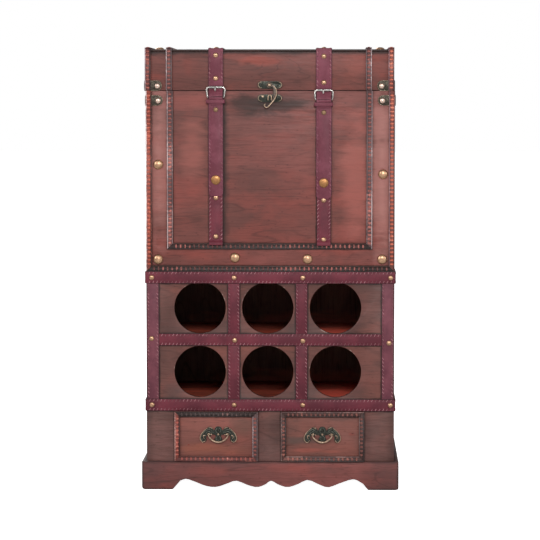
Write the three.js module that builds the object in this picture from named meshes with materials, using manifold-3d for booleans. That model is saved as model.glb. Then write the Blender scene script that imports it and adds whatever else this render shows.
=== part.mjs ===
// Trunk-style wine cabinet: a lift-up chest on a six-bottle rack and two drawers.
// Millimetres, +Z up, the front faces -Y, +X is the viewer's right.
import * as THREE from 'three';
import { mergeVertices } from 'three/addons/utils/BufferGeometryUtils.js';
import Module from 'manifold-3d';

const wasm = await Module();
wasm.setup();

// Carcase
const CABINET_WIDTH = 447;
const CABINET_DEPTH = 320;
const LOWER_SEAM = 153.2;
const RACK_HEIGHT = 230.8;
const CHEST_HEIGHT = 335.6;
const LID_HEIGHT = 73.8;
const BOARD = 9;
const BACK_BOARD = 6;
const LID_TOP_BOARD = 4;
const LID_SHIFT = -1.5;
const GAP = 0.3;
const HOUSING = 3;
const FLOOR_LIFT = 4;
const RACK_FLOOR_RISE = 0.5;
const CHEST_FLOOR_RISE = 2;

const HALF_WIDTH = CABINET_WIDTH / 2;
const FRONT = -CABINET_DEPTH / 2;
const BACK = CABINET_DEPTH / 2;
const INSIDE = HALF_WIDTH - BOARD;
const UPPER_SEAM = LOWER_SEAM + RACK_HEIGHT;
const LID_LINE = UPPER_SEAM + CHEST_HEIGHT;
const LID_TOP = LID_LINE + LID_HEIGHT;

// Leather bands, posts and lattice
const LEATHER = 2;
const BAND_HEIGHT = 21.4;
const MIDDLE_BAND_LIFT = 3.2;
const MIDDLE_BAND_RISE = 0.8;
const POST_WIDTH = 21.4;
const POST_INSET = 1.3;
const COLUMN_PITCH = 122;
const PATTERN_SHIFT = -4.5;

const LEATHER_FACE = GAP + LEATHER;
const STRAP_AXIS = GAP + LEATHER / 2;
const MIDDLE_BAND = LOWER_SEAM + RACK_HEIGHT / 2 + MIDDLE_BAND_LIFT;
const COLUMN_XS = [-1, 0, 1].map((step) => PATTERN_SHIFT + step * COLUMN_PITCH);
const DIVIDER_XS = [-1, 1].map((step) => PATTERN_SHIFT + (step * COLUMN_PITCH) / 2);
const POST_BOTTOM = LOWER_SEAM + BAND_HEIGHT / 2 + GAP;
const POST_TOP = UPPER_SEAM - BAND_HEIGHT / 2 - GAP;
const POST_EDGE = HALF_WIDTH - POST_INSET - POST_WIDTH;

// Bottle rack: each hole reaches just under the bands above and below it
const SHELF = 8;
const HOLE_UNDERLAP = 1.1;
const ROW_LIFT = 1.3;
const HOLE_SIDES = 36;

const ROW_HEIGHTS = [
  (MIDDLE_BAND + UPPER_SEAM) / 2 + ROW_LIFT,
  (LOWER_SEAM + MIDDLE_BAND) / 2 + ROW_LIFT,
];
const HOLE_RADIUS = (UPPER_SEAM - MIDDLE_BAND - BAND_HEIGHT) / 2 + HOLE_UNDERLAP;

// Straps
const STRAP_WIDTH = 27;
const STRAP_SPREAD = 97.2;
const STRAP_SHIFT = -0.4;
const STRAP_BACK_MARGIN = 8;
const STRAP_TOP_RIVET_MARGIN = 26;
const BODY_STRAP_WIDTH = 25.5;
const BODY_STRAP_HIDDEN = 66.5;
const TONGUE_LENGTH = 186.1;
const TONGUE_ROUND_SHARE = 0.8;
const TIP_RIVET_DROP = 5.6;
const SNAP_GAP = 0.5;
const SNAP_RISE = 26.5;
const SNAP_CAP_RADIUS = 8.5;
const SNAP_CAP_HEIGHT = 1.7;
const STUD_RADIUS = 3.5;
const STUD_HEIGHT = 1;
const SOCKET_RADIUS = 6;
const SOCKET_DEPTH = 1.2;
const LAP_RIVET_DROP = 32.6;
const LAP_LENGTH = 41.6;
const KEEPER_DROP = 15.9;
const KEEPER_WIDTH = 33;
const KEEPER_HEIGHT = 8;
const KEEPER_WALL = 1.4;
const RIGHT_STRAP_DROP = 4.4;
const LEFT_RIVETS = { top: 9.8, bottom: 23.9, foot: 12.1 };
const RIGHT_RIVETS = { top: 11.8, bottom: 16.5, foot: 6.6 };

const STRAPS = [
  { tag: 'left', x: STRAP_SHIFT - STRAP_SPREAD, drop: 0, rivets: LEFT_RIVETS },
  { tag: 'right', x: STRAP_SHIFT + STRAP_SPREAD, drop: RIGHT_STRAP_DROP, rivets: RIGHT_RIVETS },
];
const SIDES = [
  { tag: 'left', sign: -1 },
  { tag: 'right', sign: 1 },
];

// Buckle
const WIRE_RADIUS = 1.7;
const BUCKLE_WIDTH = 36;
const BUCKLE_HEIGHT = 24.1;
const BUCKLE_RISE = 9.8;
const BUCKLE_CHAMFER = 4;
const BUCKLE_WAIST = 1.8;
const BUCKLE_TENSION_SHARE = 0.3;
const PRONG_RADIUS = 1.2;
const PRONG_OVERHANG = 1.6;

// Carved mouldings
const TRIM_WIDTH = 10.4;
const TRIM_BASE = 2.2;
const TRIM_HEIGHT = 3.6;
const TRIM_RIB = 1.8;
const INNER_TRIM_INSET = 38.1;
const INNER_TRIM_RISE = 40.2;

const OUTER_TRIM_BOTTOM = UPPER_SEAM + BAND_HEIGHT / 2 + GAP;
const INNER_TRIM_BOTTOM = OUTER_TRIM_BOTTOM + INNER_TRIM_RISE;
const INNER_TRIM_EDGE = HALF_WIDTH - INNER_TRIM_INSET;

// Nails and rivets, each driven by eye a little off its line
const RIVET_DIAMETER = 9.3;
const RIVET_HEIGHT = 2.6;
const BIG_NAIL_DIAMETER = 16.6;
const BIG_NAIL_HEIGHT = 4.4;
const PLATE_NAIL_DIAMETER = 10.6;
const PLATE_NAIL_HEIGHT = 3;
const SINK = 0.6;
const DOME_SIDES = 12;
const DOME_RINGS = 3;
const BAND_RIVET_INSETS = [10, 6.9];
const BAND_RIVET_SHIFTS = [0.5, 2.3];
const LATTICE_RIVET_SHIFTS = [[1.5, -1], [2.5, -1.9]];
const POST_RIVET_SHIFTS = [[-2.3, 1.8], [2.5, -5.6]];
const SIDE_NAILS = [
  { sign: -1, inset: 22.2, rise: 203.2 },
  { sign: -1, inset: 21.5, rise: 32.6 },
  { sign: 1, inset: 22.4, rise: 33.2 },
  { sign: 1, inset: 21, rise: 185.8 },
];
const MIDDLE_NAILS = [
  { widthShare: -0.284, rise: 35.6 },
  { widthShare: 0.301, rise: 33.4 },
];
const LID_NAIL_INSET = 24.9;
const LID_NAIL_MARGIN = 34;

const BAND_RIVET_XS = [
  BAND_RIVET_INSETS[0] - HALF_WIDTH,
  DIVIDER_XS[0] + BAND_RIVET_SHIFTS[0],
  DIVIDER_XS[1] + BAND_RIVET_SHIFTS[1],
  HALF_WIDTH - BAND_RIVET_INSETS[1],
];
const LATTICE_RIVETS = LATTICE_RIVET_SHIFTS.map(([dx, dz], index) =>
  [DIVIDER_XS[index] + dx, MIDDLE_BAND + dz]);
const POST_RIVETS = POST_RIVET_SHIFTS.map(([dx, dz], index) =>
  [SIDES[index].sign * (POST_EDGE + POST_WIDTH / 2) + dx, MIDDLE_BAND + dz]);
const BIG_NAILS = [
  ...SIDE_NAILS.map(({ sign, inset, rise }) => [sign * (HALF_WIDTH - inset), UPPER_SEAM + rise]),
  ...MIDDLE_NAILS.map(({ widthShare, rise }) => [HALF_WIDTH * widthShare, UPPER_SEAM + rise]),
];

// Iron corner plates
const IRON = 1;
const CORNER_PLATE_HEIGHT = 18;
const CORNER_PLATE_REACH = 30.5;
const CORNER_PLATE_SIDE = 28;
const CORNER_NAIL_INSET = 20.3;
const LID_PLATE_RISE = 10.3;
const CHEST_PLATE_DROP = 14.6;

const LID_PLATE_HEIGHT = LID_LINE + LID_PLATE_RISE;
const CHEST_PLATE_HEIGHT = LID_LINE - CHEST_PLATE_DROP;

// Latch
const LATCH_PLATE_WIDTH = 44.2;
const LATCH_PLATE_HEIGHT = 13.4;
const LATCH_METAL = 1.6;
const LATCH_X = -0.5;
const LATCH_RISE = 10.7;
const LATCH_DROP = 13.6;
const PIVOT_SHIFT = -0.8;
const PIVOT_SAG = 0.7;
const PIVOT_BOSS = 4;
const PIVOT_PIN = 1.8;
const PIVOT_HEAD = 3.4;
const PIVOT_HEAD_HEIGHT = 1;
const HOOK_EYE = 4.6;
const STAPLE_SHIFT = -0.3;
const STAPLE_SAG = 3.5;
const STAPLE_RADIUS = 3;
const STAPLE_WIRE = 1.15;
const LATCH_SCREW_X = 14;
const LATCH_SCREW_DIAMETER = 5;
const LATCH_SCREW_HEIGHT = 1;
const HOOK_REACH = 13.4;
const HOOK_LENGTH = 39.2;
const HOOK_SHARES = [
  [0, 0],
  [0.45, -0.066],
  [0.87, -0.194],
  [1, -0.357],
  [0.88, -0.561],
  [0.48, -0.765],
  [0, -0.934],
  [-0.34, -1],
  [-0.64, -0.98],
  [-0.72, -0.898],
];
const HOOK_ROOT_WIDTH = 6.4;
const HOOK_TIP_WIDTH = 3.2;
const HOOK_STEPS = 24;

const LATCH_UPPER = LID_LINE + LATCH_RISE;
const LATCH_LOWER = LID_LINE - LATCH_DROP;
const PIVOT_X = LATCH_X + PIVOT_SHIFT;
const PIVOT_HEIGHT = LATCH_UPPER - PIVOT_SAG;
const STAPLE_X = LATCH_X + STAPLE_SHIFT;
const STAPLE_BASE = LATCH_LOWER - STAPLE_SAG;

// Skirt
const SKIRT_HEIGHT = 51.2;
const SKIRT_BOARD = 8;
const SKIRT_CORNER = 5;
const CORNER_CUT_SHARE = 0.33;
const SCALLOP_HEIGHT = 19.2;
const SCALLOP_SHARES = [
  [-0.761, 0],
  [-0.701, 0.83],
  [-0.654, 1],
  [-0.587, 0.74],
  [-0.5, 0.34],
  [-0.418, 0.25],
  [-0.336, 0.57],
  [-0.265, 0.84],
  [-0.181, 0.47],
  [-0.104, 0.24],
  [-0.039, 0.49],
  [0.007, 0.85],
  [0.065, 0.49],
  [0.137, 0.25],
  [0.216, 0.54],
  [0.294, 0.94],
  [0.38, 0.52],
  [0.452, 0.25],
  [0.535, 0.6],
  [0.623, 0.97],
  [0.67, 0.96],
  [0.725, 0.57],
  [0.764, 0],
];
const SIDE_FOOT = 52;
const SIDE_ARCH = 17;
const SIDE_ARCH_RUN = 26;
const SIDE_MIDDLE_DIP = 9;

// Drawers
const DRAWER_SPREAD_SHARE = 0.2148;
const DRAWER_SHIFT = -1.5;
const DRAWER_FRONT_WIDTH = 150;
const DRAWER_FRONT_GAP = 0.7;
const DRAWER_FRONT_BOARD = 8;
const DRAWER_FRAME_WIDTH = 9.4;
const DRAWER_FRAME_RISE = 4;
const DRAWER_FRAME_BEVEL = 1.4;
const SIDE_LAP = 8;
const BOTTOM_LAP = 5;
const TOP_LAP = 6.6;
const DRAWER_PLAY = 1.5;
const DRAWER_RISE = 0.8;
const DRAWER_BACK_ROOM = 56;
const DRAWER_WALL = 7;
const DRAWER_BOTTOM_BOARD = 4;
const DRAWER_BOTTOM_RAISE = 5;
const DRAWER_GROOVE = 3;
const RUNNER_WIDTH = 14;
const RUNNER_RISE = 6.6;
const GUIDE_HEIGHT = 14;
const GUIDE_THICKNESS = 6;

const DRAWER_FRONT_BOTTOM = SKIRT_HEIGHT + DRAWER_FRONT_GAP;
const DRAWER_FRONT_TOP = LOWER_SEAM - BAND_HEIGHT / 2 - DRAWER_FRONT_GAP;
const OPENING_WIDTH = DRAWER_FRONT_WIDTH - 2 * SIDE_LAP;
const OPENING_BOTTOM = DRAWER_FRONT_BOTTOM + BOTTOM_LAP;
const OPENING_TOP = DRAWER_FRONT_TOP - TOP_LAP;

// Drop handles
const HANDLE_SHIFT = 2.5;
const HANDLE_LIFT = 2.55;
const HANDLE_METAL = 2.2;
const BAIL_WIRE = 1.3;
const BAIL_SPAN = 19;
const BAIL_DROP = 16.2;
const BAIL_BEND_SHARES = [0.72, 0.66];
const BAIL_AXIS_RISE = 1.2;
const BAIL_PIN_INNER = 11.6;
const POST_INNER = 12.2;
const POST_OUTER = 15.4;
const POST_RADIUS = 2.9;
const HANDLE_HALF_WIDTH = 33.2;
const HANDLE_CROWN = 15.6;
const HANDLE_SHARES = [
  [0, 1],
  [0.13, 0.9],
  [0.2, 0.58],
  [0.27, 0.58],
  [0.35, 0.85],
  [0.46, 0.96],
  [0.6, 0.82],
  [0.75, 0.57],
  [0.9, 0.21],
  [0.99, -0.24],
  [0.99, -0.55],
  [0.91, -0.79],
  [0.8, -0.85],
  [0.7, -0.72],
  [0.67, -0.45],
  [0.67, -0.16],
  [0.58, 0.08],
  [0.25, 0.08],
  [0.13, -0.12],
  [0.2, -0.45],
  [0.11, -0.69],
];

const HANDLE_HEIGHT = (DRAWER_FRONT_BOTTOM + DRAWER_FRONT_TOP) / 2 + HANDLE_LIFT;

// Hinges
const HINGE_INSET = 73.5;
const HINGE_WIDTH = 30;
const HINGE_LEAF = 27;
const HINGE_METAL = 1.5;
const KNUCKLE_RADIUS = 3.4;
const KNUCKLE_HALF = 5;
const HINGE_PIN = 1.5;

// Segment counts
const ROUND_SIDES = 20;
const WIRE_SIDES = 8;
const BUCKLE_STEPS = 40;
const BAIL_STEPS = 20;

// Materials
const paint = (color, roughness, metalness) =>
  new THREE.MeshStandardMaterial({ color, roughness, metalness });
const WOOD = paint(0x7f4b45, 0.55, 0);
const PANEL_WOOD = paint(0x6c4844, 0.6, 0);
const INNER_WOOD = paint(0x6a3a30, 0.75, 0);
const MOULDING = paint(0x4a2c28, 0.6, 0);
const LEATHER_PAINT = paint(0x703a44, 0.5, 0);
const BRONZE = paint(0x3a3d38, 0.45, 0.9);
const NICKEL = paint(0xc8c4be, 0.25, 1);
const BRASS = paint(0xb9905f, 0.35, 1);

// Solids
function solid(geometry) {
  const bare = new THREE.BufferGeometry();
  bare.setAttribute('position', geometry.getAttribute('position'));
  if (geometry.index) bare.setIndex(geometry.index);
  const merged = mergeVertices(bare);
  return new wasm.Manifold(new wasm.Mesh({
    numProp: 3,
    vertProperties: new Float32Array(merged.getAttribute('position').array),
    triVerts: new Uint32Array(merged.index.array),
  }));
}

function block(x0, x1, y0, y1, z0, z1) {
  const box = new THREE.BoxGeometry(x1 - x0, y1 - y0, z1 - z0);
  box.translate((x0 + x1) / 2, (y0 + y1) / 2, (z0 + z1) / 2);
  return solid(box);
}

// A block on the front face, measured outwards from the panels' surface.
function slab(x0, x1, z0, z1, near, far) {
  return block(x0, x1, FRONT - far, FRONT - near, z0, z1);
}

// An outline in the front plane, made solid between two distances from the panels' surface.
function cutout(shape, near, far) {
  const flat = new THREE.ExtrudeGeometry(shape, { depth: far - near, bevelEnabled: false });
  flat.rotateX(Math.PI / 2);
  flat.translate(0, FRONT - near, 0);
  return solid(flat);
}

// A rod along Y on the front face.
function disc(x, z, radius, near, far, sides = ROUND_SIDES) {
  const rod = new THREE.CylinderGeometry(radius, radius, far - near, sides);
  rod.translate(x, FRONT - (near + far) / 2, z);
  return solid(rod);
}

// A rod along X.
function axle(x0, x1, y, z, radius, sides = ROUND_SIDES) {
  const rod = new THREE.CylinderGeometry(radius, radius, x1 - x0, sides);
  rod.rotateZ(Math.PI / 2);
  rod.translate((x0 + x1) / 2, y, z);
  return solid(rod);
}

// A domed head whose flat side is sunk into the piece that carries it.
function dome(diameter, height) {
  const outline = [new THREE.Vector2(0, -SINK), new THREE.Vector2(diameter / 2, -SINK)];
  for (let ring = 0; ring < DOME_RINGS; ring += 1) {
    const turn = (ring / DOME_RINGS) * (Math.PI / 2);
    outline.push(new THREE.Vector2((diameter / 2) * Math.cos(turn), height * Math.sin(turn)));
  }
  outline.push(new THREE.Vector2(0, height));
  return new THREE.LatheGeometry(outline, DOME_SIDES);
}

function frontDome(x, z, surface, diameter, height) {
  const head = dome(diameter, height);
  head.rotateX(Math.PI);
  head.translate(x, FRONT - surface, z);
  return solid(head);
}

function topDome(x, y, surface, diameter, height) {
  const head = dome(diameter, height);
  head.rotateX(Math.PI / 2);
  head.translate(x, y, surface);
  return solid(head);
}

// A wire of round section along a smooth line of [x, y, z] points.
function wire(points, radius, steps, closed, tension) {
  const line = new THREE.CatmullRomCurve3(
    points.map((point) => new THREE.Vector3(...point)), closed, 'catmullrom', tension);
  const tube = new THREE.TubeGeometry(line, steps, radius, WIRE_SIDES, closed);
  if (closed) return solid(tube);
  const corners = Array.from(tube.getAttribute('position').array);
  const faces = Array.from(tube.index.array);
  for (const ending of [0, 1]) {
    const middle = line.getPointAt(ending);
    const hub = corners.length / 3;
    corners.push(middle.x, middle.y, middle.z);
    const first = ending * steps * (WIRE_SIDES + 1);
    for (let side = 0; side < WIRE_SIDES; side += 1) {
      const pair = [first + side, first + side + 1];
      if (ending) pair.reverse();
      faces.push(hub, ...pair);
    }
  }
  const capped = new THREE.BufferGeometry();
  capped.setAttribute('position', new THREE.Float32BufferAttribute(corners, 3));
  capped.setIndex(faces);
  return solid(capped);
}

function join(pieces) {
  return pieces.reduce((whole, piece) => whole.add(piece));
}

const group = new THREE.Group();
function add(name, piece, material) {
  const mesh = piece.getMesh();
  const geometry = new THREE.BufferGeometry();
  geometry.setAttribute('position', new THREE.Float32BufferAttribute(mesh.vertProperties, 3));
  geometry.setIndex(Array.from(mesh.triVerts));
  geometry.computeVertexNormals();
  const node = new THREE.Mesh(geometry, material);
  node.name = name;
  group.add(node);
}

// Carcase boards, housed in grooves in the side panels
const BOARD_SPAN = INSIDE + HOUSING - GAP;
const BOARD_FRONT = FRONT + BOARD + GAP;
const BOARD_BACK = BACK - BACK_BOARD - GAP;
const BODY_TOP = LID_LINE - GAP;
const BOX_BOTTOM = OPENING_BOTTOM + DRAWER_RISE;
const FLOOR_TOP = BOX_BOTTOM - RUNNER_RISE;
const FLOOR_BOTTOM = FLOOR_TOP - BOARD;
const BODY_BOTTOM = FLOOR_BOTTOM - FLOOR_LIFT;
const SHELF_BOTTOM = (ROW_HEIGHTS[0] + ROW_HEIGHTS[1] - SHELF) / 2;
const RACK_FLOOR_BOTTOM = LOWER_SEAM + RACK_FLOOR_RISE;
const RACK_FLOOR_TOP = RACK_FLOOR_BOTTOM + SHELF;
const CHEST_FLOOR_BOTTOM = UPPER_SEAM + CHEST_FLOOR_RISE;
const CHEST_FLOOR_TOP = CHEST_FLOOR_BOTTOM + BOARD;
const HOUSED_BOARDS = [
  [FLOOR_BOTTOM, FLOOR_TOP],
  [RACK_FLOOR_BOTTOM, RACK_FLOOR_TOP],
  [SHELF_BOTTOM, SHELF_BOTTOM + SHELF],
  [CHEST_FLOOR_BOTTOM, CHEST_FLOOR_TOP],
];

for (const { tag, sign } of SIDES) {
  const ordered = (a, b) => [Math.min(sign * a, sign * b), Math.max(sign * a, sign * b)];
  const [outerX0, outerX1] = ordered(INSIDE, HALF_WIDTH);
  const [grooveX0, grooveX1] = ordered(INSIDE - GAP, INSIDE + HOUSING);
  let side = block(outerX0, outerX1, BOARD_FRONT, BACK, BODY_BOTTOM, BODY_TOP);
  for (const [bottom, top] of HOUSED_BOARDS) {
    side = side.subtract(
      block(grooveX0, grooveX1, FRONT, BACK, bottom - GAP, top + GAP));
  }
  const rebateFront = BACK - BACK_BOARD - GAP;
  side = side.subtract(
    block(grooveX0, grooveX1, rebateFront, BACK + GAP, BODY_BOTTOM - GAP, LID_LINE));
  add(`side_panel_${tag}`, side, WOOD);
}
add('back_panel', block(-BOARD_SPAN, BOARD_SPAN, BACK - BACK_BOARD, BACK, BODY_BOTTOM, BODY_TOP),
  INNER_WOOD);

let chestFront = slab(-HALF_WIDTH, HALF_WIDTH, UPPER_SEAM + GAP / 2, BODY_TOP, -BOARD, 0);
chestFront = join([chestFront, ...BIG_NAILS.map(([x, z]) =>
  frontDome(x, z, 0, BIG_NAIL_DIAMETER, BIG_NAIL_HEIGHT))]);
add('chest_front_panel', chestFront, WOOD);

let bottlePanel = slab(
  -HALF_WIDTH, HALF_WIDTH, LOWER_SEAM + GAP / 2, UPPER_SEAM - GAP / 2, -BOARD, 0);
for (const x of COLUMN_XS) {
  for (const z of ROW_HEIGHTS) {
    bottlePanel = bottlePanel.subtract(
      disc(x, z, HOLE_RADIUS, -BOARD - GAP, GAP, HOLE_SIDES));
  }
}
add('bottle_panel', bottlePanel, PANEL_WOOD);

const DRAWER_XS = SIDES.map(({ sign }) =>
  DRAWER_SHIFT + sign * CABINET_WIDTH * DRAWER_SPREAD_SHARE);
let drawerFace = slab(-HALF_WIDTH, HALF_WIDTH, BODY_BOTTOM, LOWER_SEAM - GAP / 2, -BOARD, 0);
for (const x of DRAWER_XS) {
  const half = OPENING_WIDTH / 2;
  drawerFace = drawerFace.subtract(
    slab(x - half, x + half, OPENING_BOTTOM, OPENING_TOP, -BOARD - GAP, GAP));
}
add('drawer_face_panel', drawerFace, PANEL_WOOD);

function board(bottom, top) {
  return block(-BOARD_SPAN, BOARD_SPAN, BOARD_FRONT, BOARD_BACK, bottom, top);
}
add('chest_floor', board(CHEST_FLOOR_BOTTOM, CHEST_FLOOR_TOP), INNER_WOOD);
add('rack_floor', board(RACK_FLOOR_BOTTOM, RACK_FLOOR_TOP), INNER_WOOD);

// The shelf and the two uprights are halved into one another.
const LAP_Y = (BOARD_FRONT + BOARD_BACK) / 2;
let shelf = board(SHELF_BOTTOM, SHELF_BOTTOM + SHELF);
DIVIDER_XS.forEach((x, index) => {
  const slotHalf = SHELF / 2 + GAP;
  shelf = shelf.subtract(block(
    x - slotHalf, x + slotHalf, FRONT, LAP_Y + GAP / 2, SHELF_BOTTOM - GAP, SHELF_BOTTOM + SHELF + GAP));
  const upright = block(
    x - SHELF / 2, x + SHELF / 2, BOARD_FRONT, BOARD_BACK,
    RACK_FLOOR_TOP + GAP, CHEST_FLOOR_BOTTOM - GAP);
  const notch = block(
    x - SHELF, x + SHELF, LAP_Y - GAP / 2, BACK, SHELF_BOTTOM - GAP, SHELF_BOTTOM + SHELF + GAP);
  add(`bottle_divider_${SIDES[index].tag}`, upright.subtract(notch), INNER_WOOD);
});
add('bottle_shelf', shelf, INNER_WOOD);

// Cabinet floor with the runners and guides for the drawers
const BOX_HALF = OPENING_WIDTH / 2 - DRAWER_PLAY;
const RUNNER_TOP = BOX_BOTTOM - GAP;
const floorParts = [board(FLOOR_BOTTOM, FLOOR_TOP)];
for (const x of DRAWER_XS) {
  for (const { sign } of SIDES) {
    const edge = x + sign * (BOX_HALF + DRAWER_PLAY);
    const inner = edge - sign * RUNNER_WIDTH;
    const outer = edge + sign * GUIDE_THICKNESS;
    floorParts.push(block(
      Math.min(inner, outer), Math.max(inner, outer), BOARD_FRONT, BOARD_BACK, FLOOR_TOP - GAP, RUNNER_TOP));
    floorParts.push(block(
      Math.min(edge, outer), Math.max(edge, outer), BOARD_FRONT, BOARD_BACK,
      FLOOR_TOP - GAP, RUNNER_TOP + GUIDE_HEIGHT));
  }
}
add('cabinet_floor', join(floorParts), INNER_WOOD);

// Scalloped skirt round the foot of the cabinet
const SKIRT_HALF = HALF_WIDTH + GAP + SKIRT_BOARD;
const CORNER_CUT = SKIRT_CORNER * CORNER_CUT_SHARE;
const scallops = SCALLOP_SHARES.map(([x, z]) => [x * SKIRT_HALF, z * SCALLOP_HEIGHT]);
const frontSkirt = new THREE.Shape();
frontSkirt.moveTo(-SKIRT_HALF, SKIRT_HEIGHT);
frontSkirt.lineTo(-SKIRT_HALF, SKIRT_CORNER);
frontSkirt.lineTo(-SKIRT_HALF + CORNER_CUT, CORNER_CUT);
frontSkirt.lineTo(-SKIRT_HALF + SKIRT_CORNER, 0);
const edgeLine = new THREE.SplineCurve(
  scallops.slice(1, -1).map(([x, z]) => new THREE.Vector2(x, z)));
frontSkirt.lineTo(...scallops[0]);
for (const point of edgeLine.getPoints(scallops.length * 2)) frontSkirt.lineTo(point.x, point.y);
frontSkirt.lineTo(...scallops.at(-1));
frontSkirt.lineTo(SKIRT_HALF - SKIRT_CORNER, 0);
frontSkirt.lineTo(SKIRT_HALF - CORNER_CUT, CORNER_CUT);
frontSkirt.lineTo(SKIRT_HALF, SKIRT_CORNER);
frontSkirt.lineTo(SKIRT_HALF, SKIRT_HEIGHT);
add('skirt_front', cutout(frontSkirt, GAP, GAP + SKIRT_BOARD), WOOD);

const sideSkirt = new THREE.Shape();
sideSkirt.moveTo(FRONT, SKIRT_HEIGHT);
sideSkirt.lineTo(FRONT, 0);
sideSkirt.lineTo(FRONT + SIDE_FOOT, 0);
sideSkirt.lineTo(FRONT + SIDE_FOOT + SIDE_ARCH / 2, SIDE_ARCH);
sideSkirt.quadraticCurveTo(
  FRONT + SIDE_FOOT + SIDE_ARCH_RUN, SIDE_ARCH, 0, SIDE_MIDDLE_DIP);
sideSkirt.quadraticCurveTo(
  BACK - SIDE_FOOT - SIDE_ARCH_RUN, SIDE_ARCH, BACK - SIDE_FOOT - SIDE_ARCH / 2, SIDE_ARCH);
sideSkirt.lineTo(BACK - SIDE_FOOT, 0);
sideSkirt.lineTo(BACK, 0);
sideSkirt.lineTo(BACK, SKIRT_HEIGHT);
for (const { tag, sign } of SIDES) {
  const flat = new THREE.ExtrudeGeometry(
    sideSkirt, { depth: SKIRT_BOARD, bevelEnabled: false, curveSegments: 8 });
  flat.rotateX(Math.PI / 2);
  flat.rotateZ(Math.PI / 2);
  const near = HALF_WIDTH + GAP;
  flat.translate(sign > 0 ? near : -near - SKIRT_BOARD, 0, 0);
  add(`skirt_${tag}`, solid(flat), WOOD);
}

// Leather bands that wrap the body, and the posts and lattice between them
function wrapBand(middle) {
  const z0 = middle - BAND_HEIGHT / 2;
  const z1 = middle + BAND_HEIGHT / 2;
  const reach = HALF_WIDTH + LEATHER_FACE;
  const outside = block(-reach, reach, FRONT - LEATHER_FACE, BACK, z0, z1);
  const inside = block(
    -HALF_WIDTH - GAP, HALF_WIDTH + GAP, FRONT - GAP, BACK + GAP, z0 - GAP, z1 + GAP);
  const rivets = BAND_RIVET_XS.map((x) =>
    frontDome(x, middle, LEATHER_FACE, RIVET_DIAMETER, RIVET_HEIGHT));
  return join([outside.subtract(inside), ...rivets]);
}
add('band_upper', wrapBand(UPPER_SEAM), LEATHER_PAINT);
add('band_lower', wrapBand(LOWER_SEAM), LEATHER_PAINT);

SIDES.forEach(({ tag, sign }, index) => {
  const near = sign * POST_EDGE;
  const far = sign * (HALF_WIDTH - POST_INSET);
  const [x, z] = POST_RIVETS[index];
  add(`corner_post_${tag}`, join([
    slab(Math.min(near, far), Math.max(near, far), POST_BOTTOM, POST_TOP, GAP, LEATHER_FACE),
    frontDome(x, z, LEATHER_FACE, RIVET_DIAMETER, RIVET_HEIGHT),
  ]), LEATHER_PAINT);
});
const LATTICE_EDGE = POST_EDGE - GAP;
add('strap_lattice', join([
  slab(-LATTICE_EDGE, LATTICE_EDGE, MIDDLE_BAND - BAND_HEIGHT / 2, MIDDLE_BAND + BAND_HEIGHT / 2,
    GAP, LEATHER_FACE + MIDDLE_BAND_RISE),
  ...DIVIDER_XS.map((x) => slab(
    x - POST_WIDTH / 2, x + POST_WIDTH / 2, POST_BOTTOM, POST_TOP, GAP, LEATHER_FACE)),
  ...LATTICE_RIVETS.map(([x, z]) => frontDome(
    x, z, LEATHER_FACE + MIDDLE_BAND_RISE, RIVET_DIAMETER, RIVET_HEIGHT)),
]), LEATHER_PAINT);

// Channel-shaped mouldings on the chest front
function platePocket(middle) {
  const half = CORNER_PLATE_HEIGHT / 2 + GAP;
  return slab(-HALF_WIDTH - GAP, HALF_WIDTH + GAP, middle - half, middle + half, 0, GAP + IRON + GAP);
}
function chestTrim(edge, bottom) {
  const inner = edge - TRIM_WIDTH;
  const top = BODY_TOP;
  const full = slab(-edge, edge, bottom, top, GAP, GAP + TRIM_HEIGHT);
  const window = slab(-inner, inner, bottom + TRIM_WIDTH, top + GAP, 0, TRIM_WIDTH);
  const low = GAP + TRIM_BASE;
  const wide = edge - TRIM_RIB;
  const narrow = inner + TRIM_RIB;
  const channelOuter = slab(-wide, wide, bottom + TRIM_RIB, top + GAP, low, TRIM_WIDTH);
  const channelInner = slab(
    -narrow, narrow, bottom + TRIM_WIDTH - TRIM_RIB, LID_TOP, 0, TRIM_WIDTH + GAP);
  return full.subtract(window).subtract(channelOuter.subtract(channelInner));
}
add('chest_outer_trim',
  chestTrim(HALF_WIDTH, OUTER_TRIM_BOTTOM).subtract(platePocket(CHEST_PLATE_HEIGHT)), MOULDING);
add('chest_inner_trim', chestTrim(INNER_TRIM_EDGE, INNER_TRIM_BOTTOM), MOULDING);

// Iron corner plates, bent round the corner, with their nails
function cornerPlate(sign, middle) {
  const outer = HALF_WIDTH + GAP + IRON;
  const radius = CORNER_PLATE_HEIGHT / 2;
  const z0 = middle - radius;
  const z1 = middle + radius;
  const tip = HALF_WIDTH - CORNER_PLATE_REACH + radius;
  const turn = FRONT + CORNER_PLATE_SIDE - radius;
  const legX = sign > 0 ? [tip, outer] : [-outer, -tip];
  const sideX = sign > 0 ? [outer - IRON, outer] : [-outer, -outer + IRON];
  return join([
    slab(...legX, z0, z1, GAP, GAP + IRON),
    disc(sign * tip, middle, radius, GAP, GAP + IRON),
    block(...sideX, FRONT - GAP - IRON, turn, z0, z1),
    axle(...sideX, turn, middle, radius),
    frontDome(sign * (HALF_WIDTH - CORNER_NAIL_INSET), middle, GAP + IRON,
      PLATE_NAIL_DIAMETER, PLATE_NAIL_HEIGHT),
  ]);
}
// The lid box sits a little to the left of the chest.
function onLid(shape) {
  return shape.translate([LID_SHIFT, 0, 0]);
}
for (const { tag, sign } of SIDES) {
  add(`corner_plate_chest_${tag}`, cornerPlate(sign, CHEST_PLATE_HEIGHT), BRONZE);
  add(`corner_plate_lid_${tag}`, onLid(cornerPlate(sign, LID_PLATE_HEIGHT)), BRONZE);
}

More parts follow.
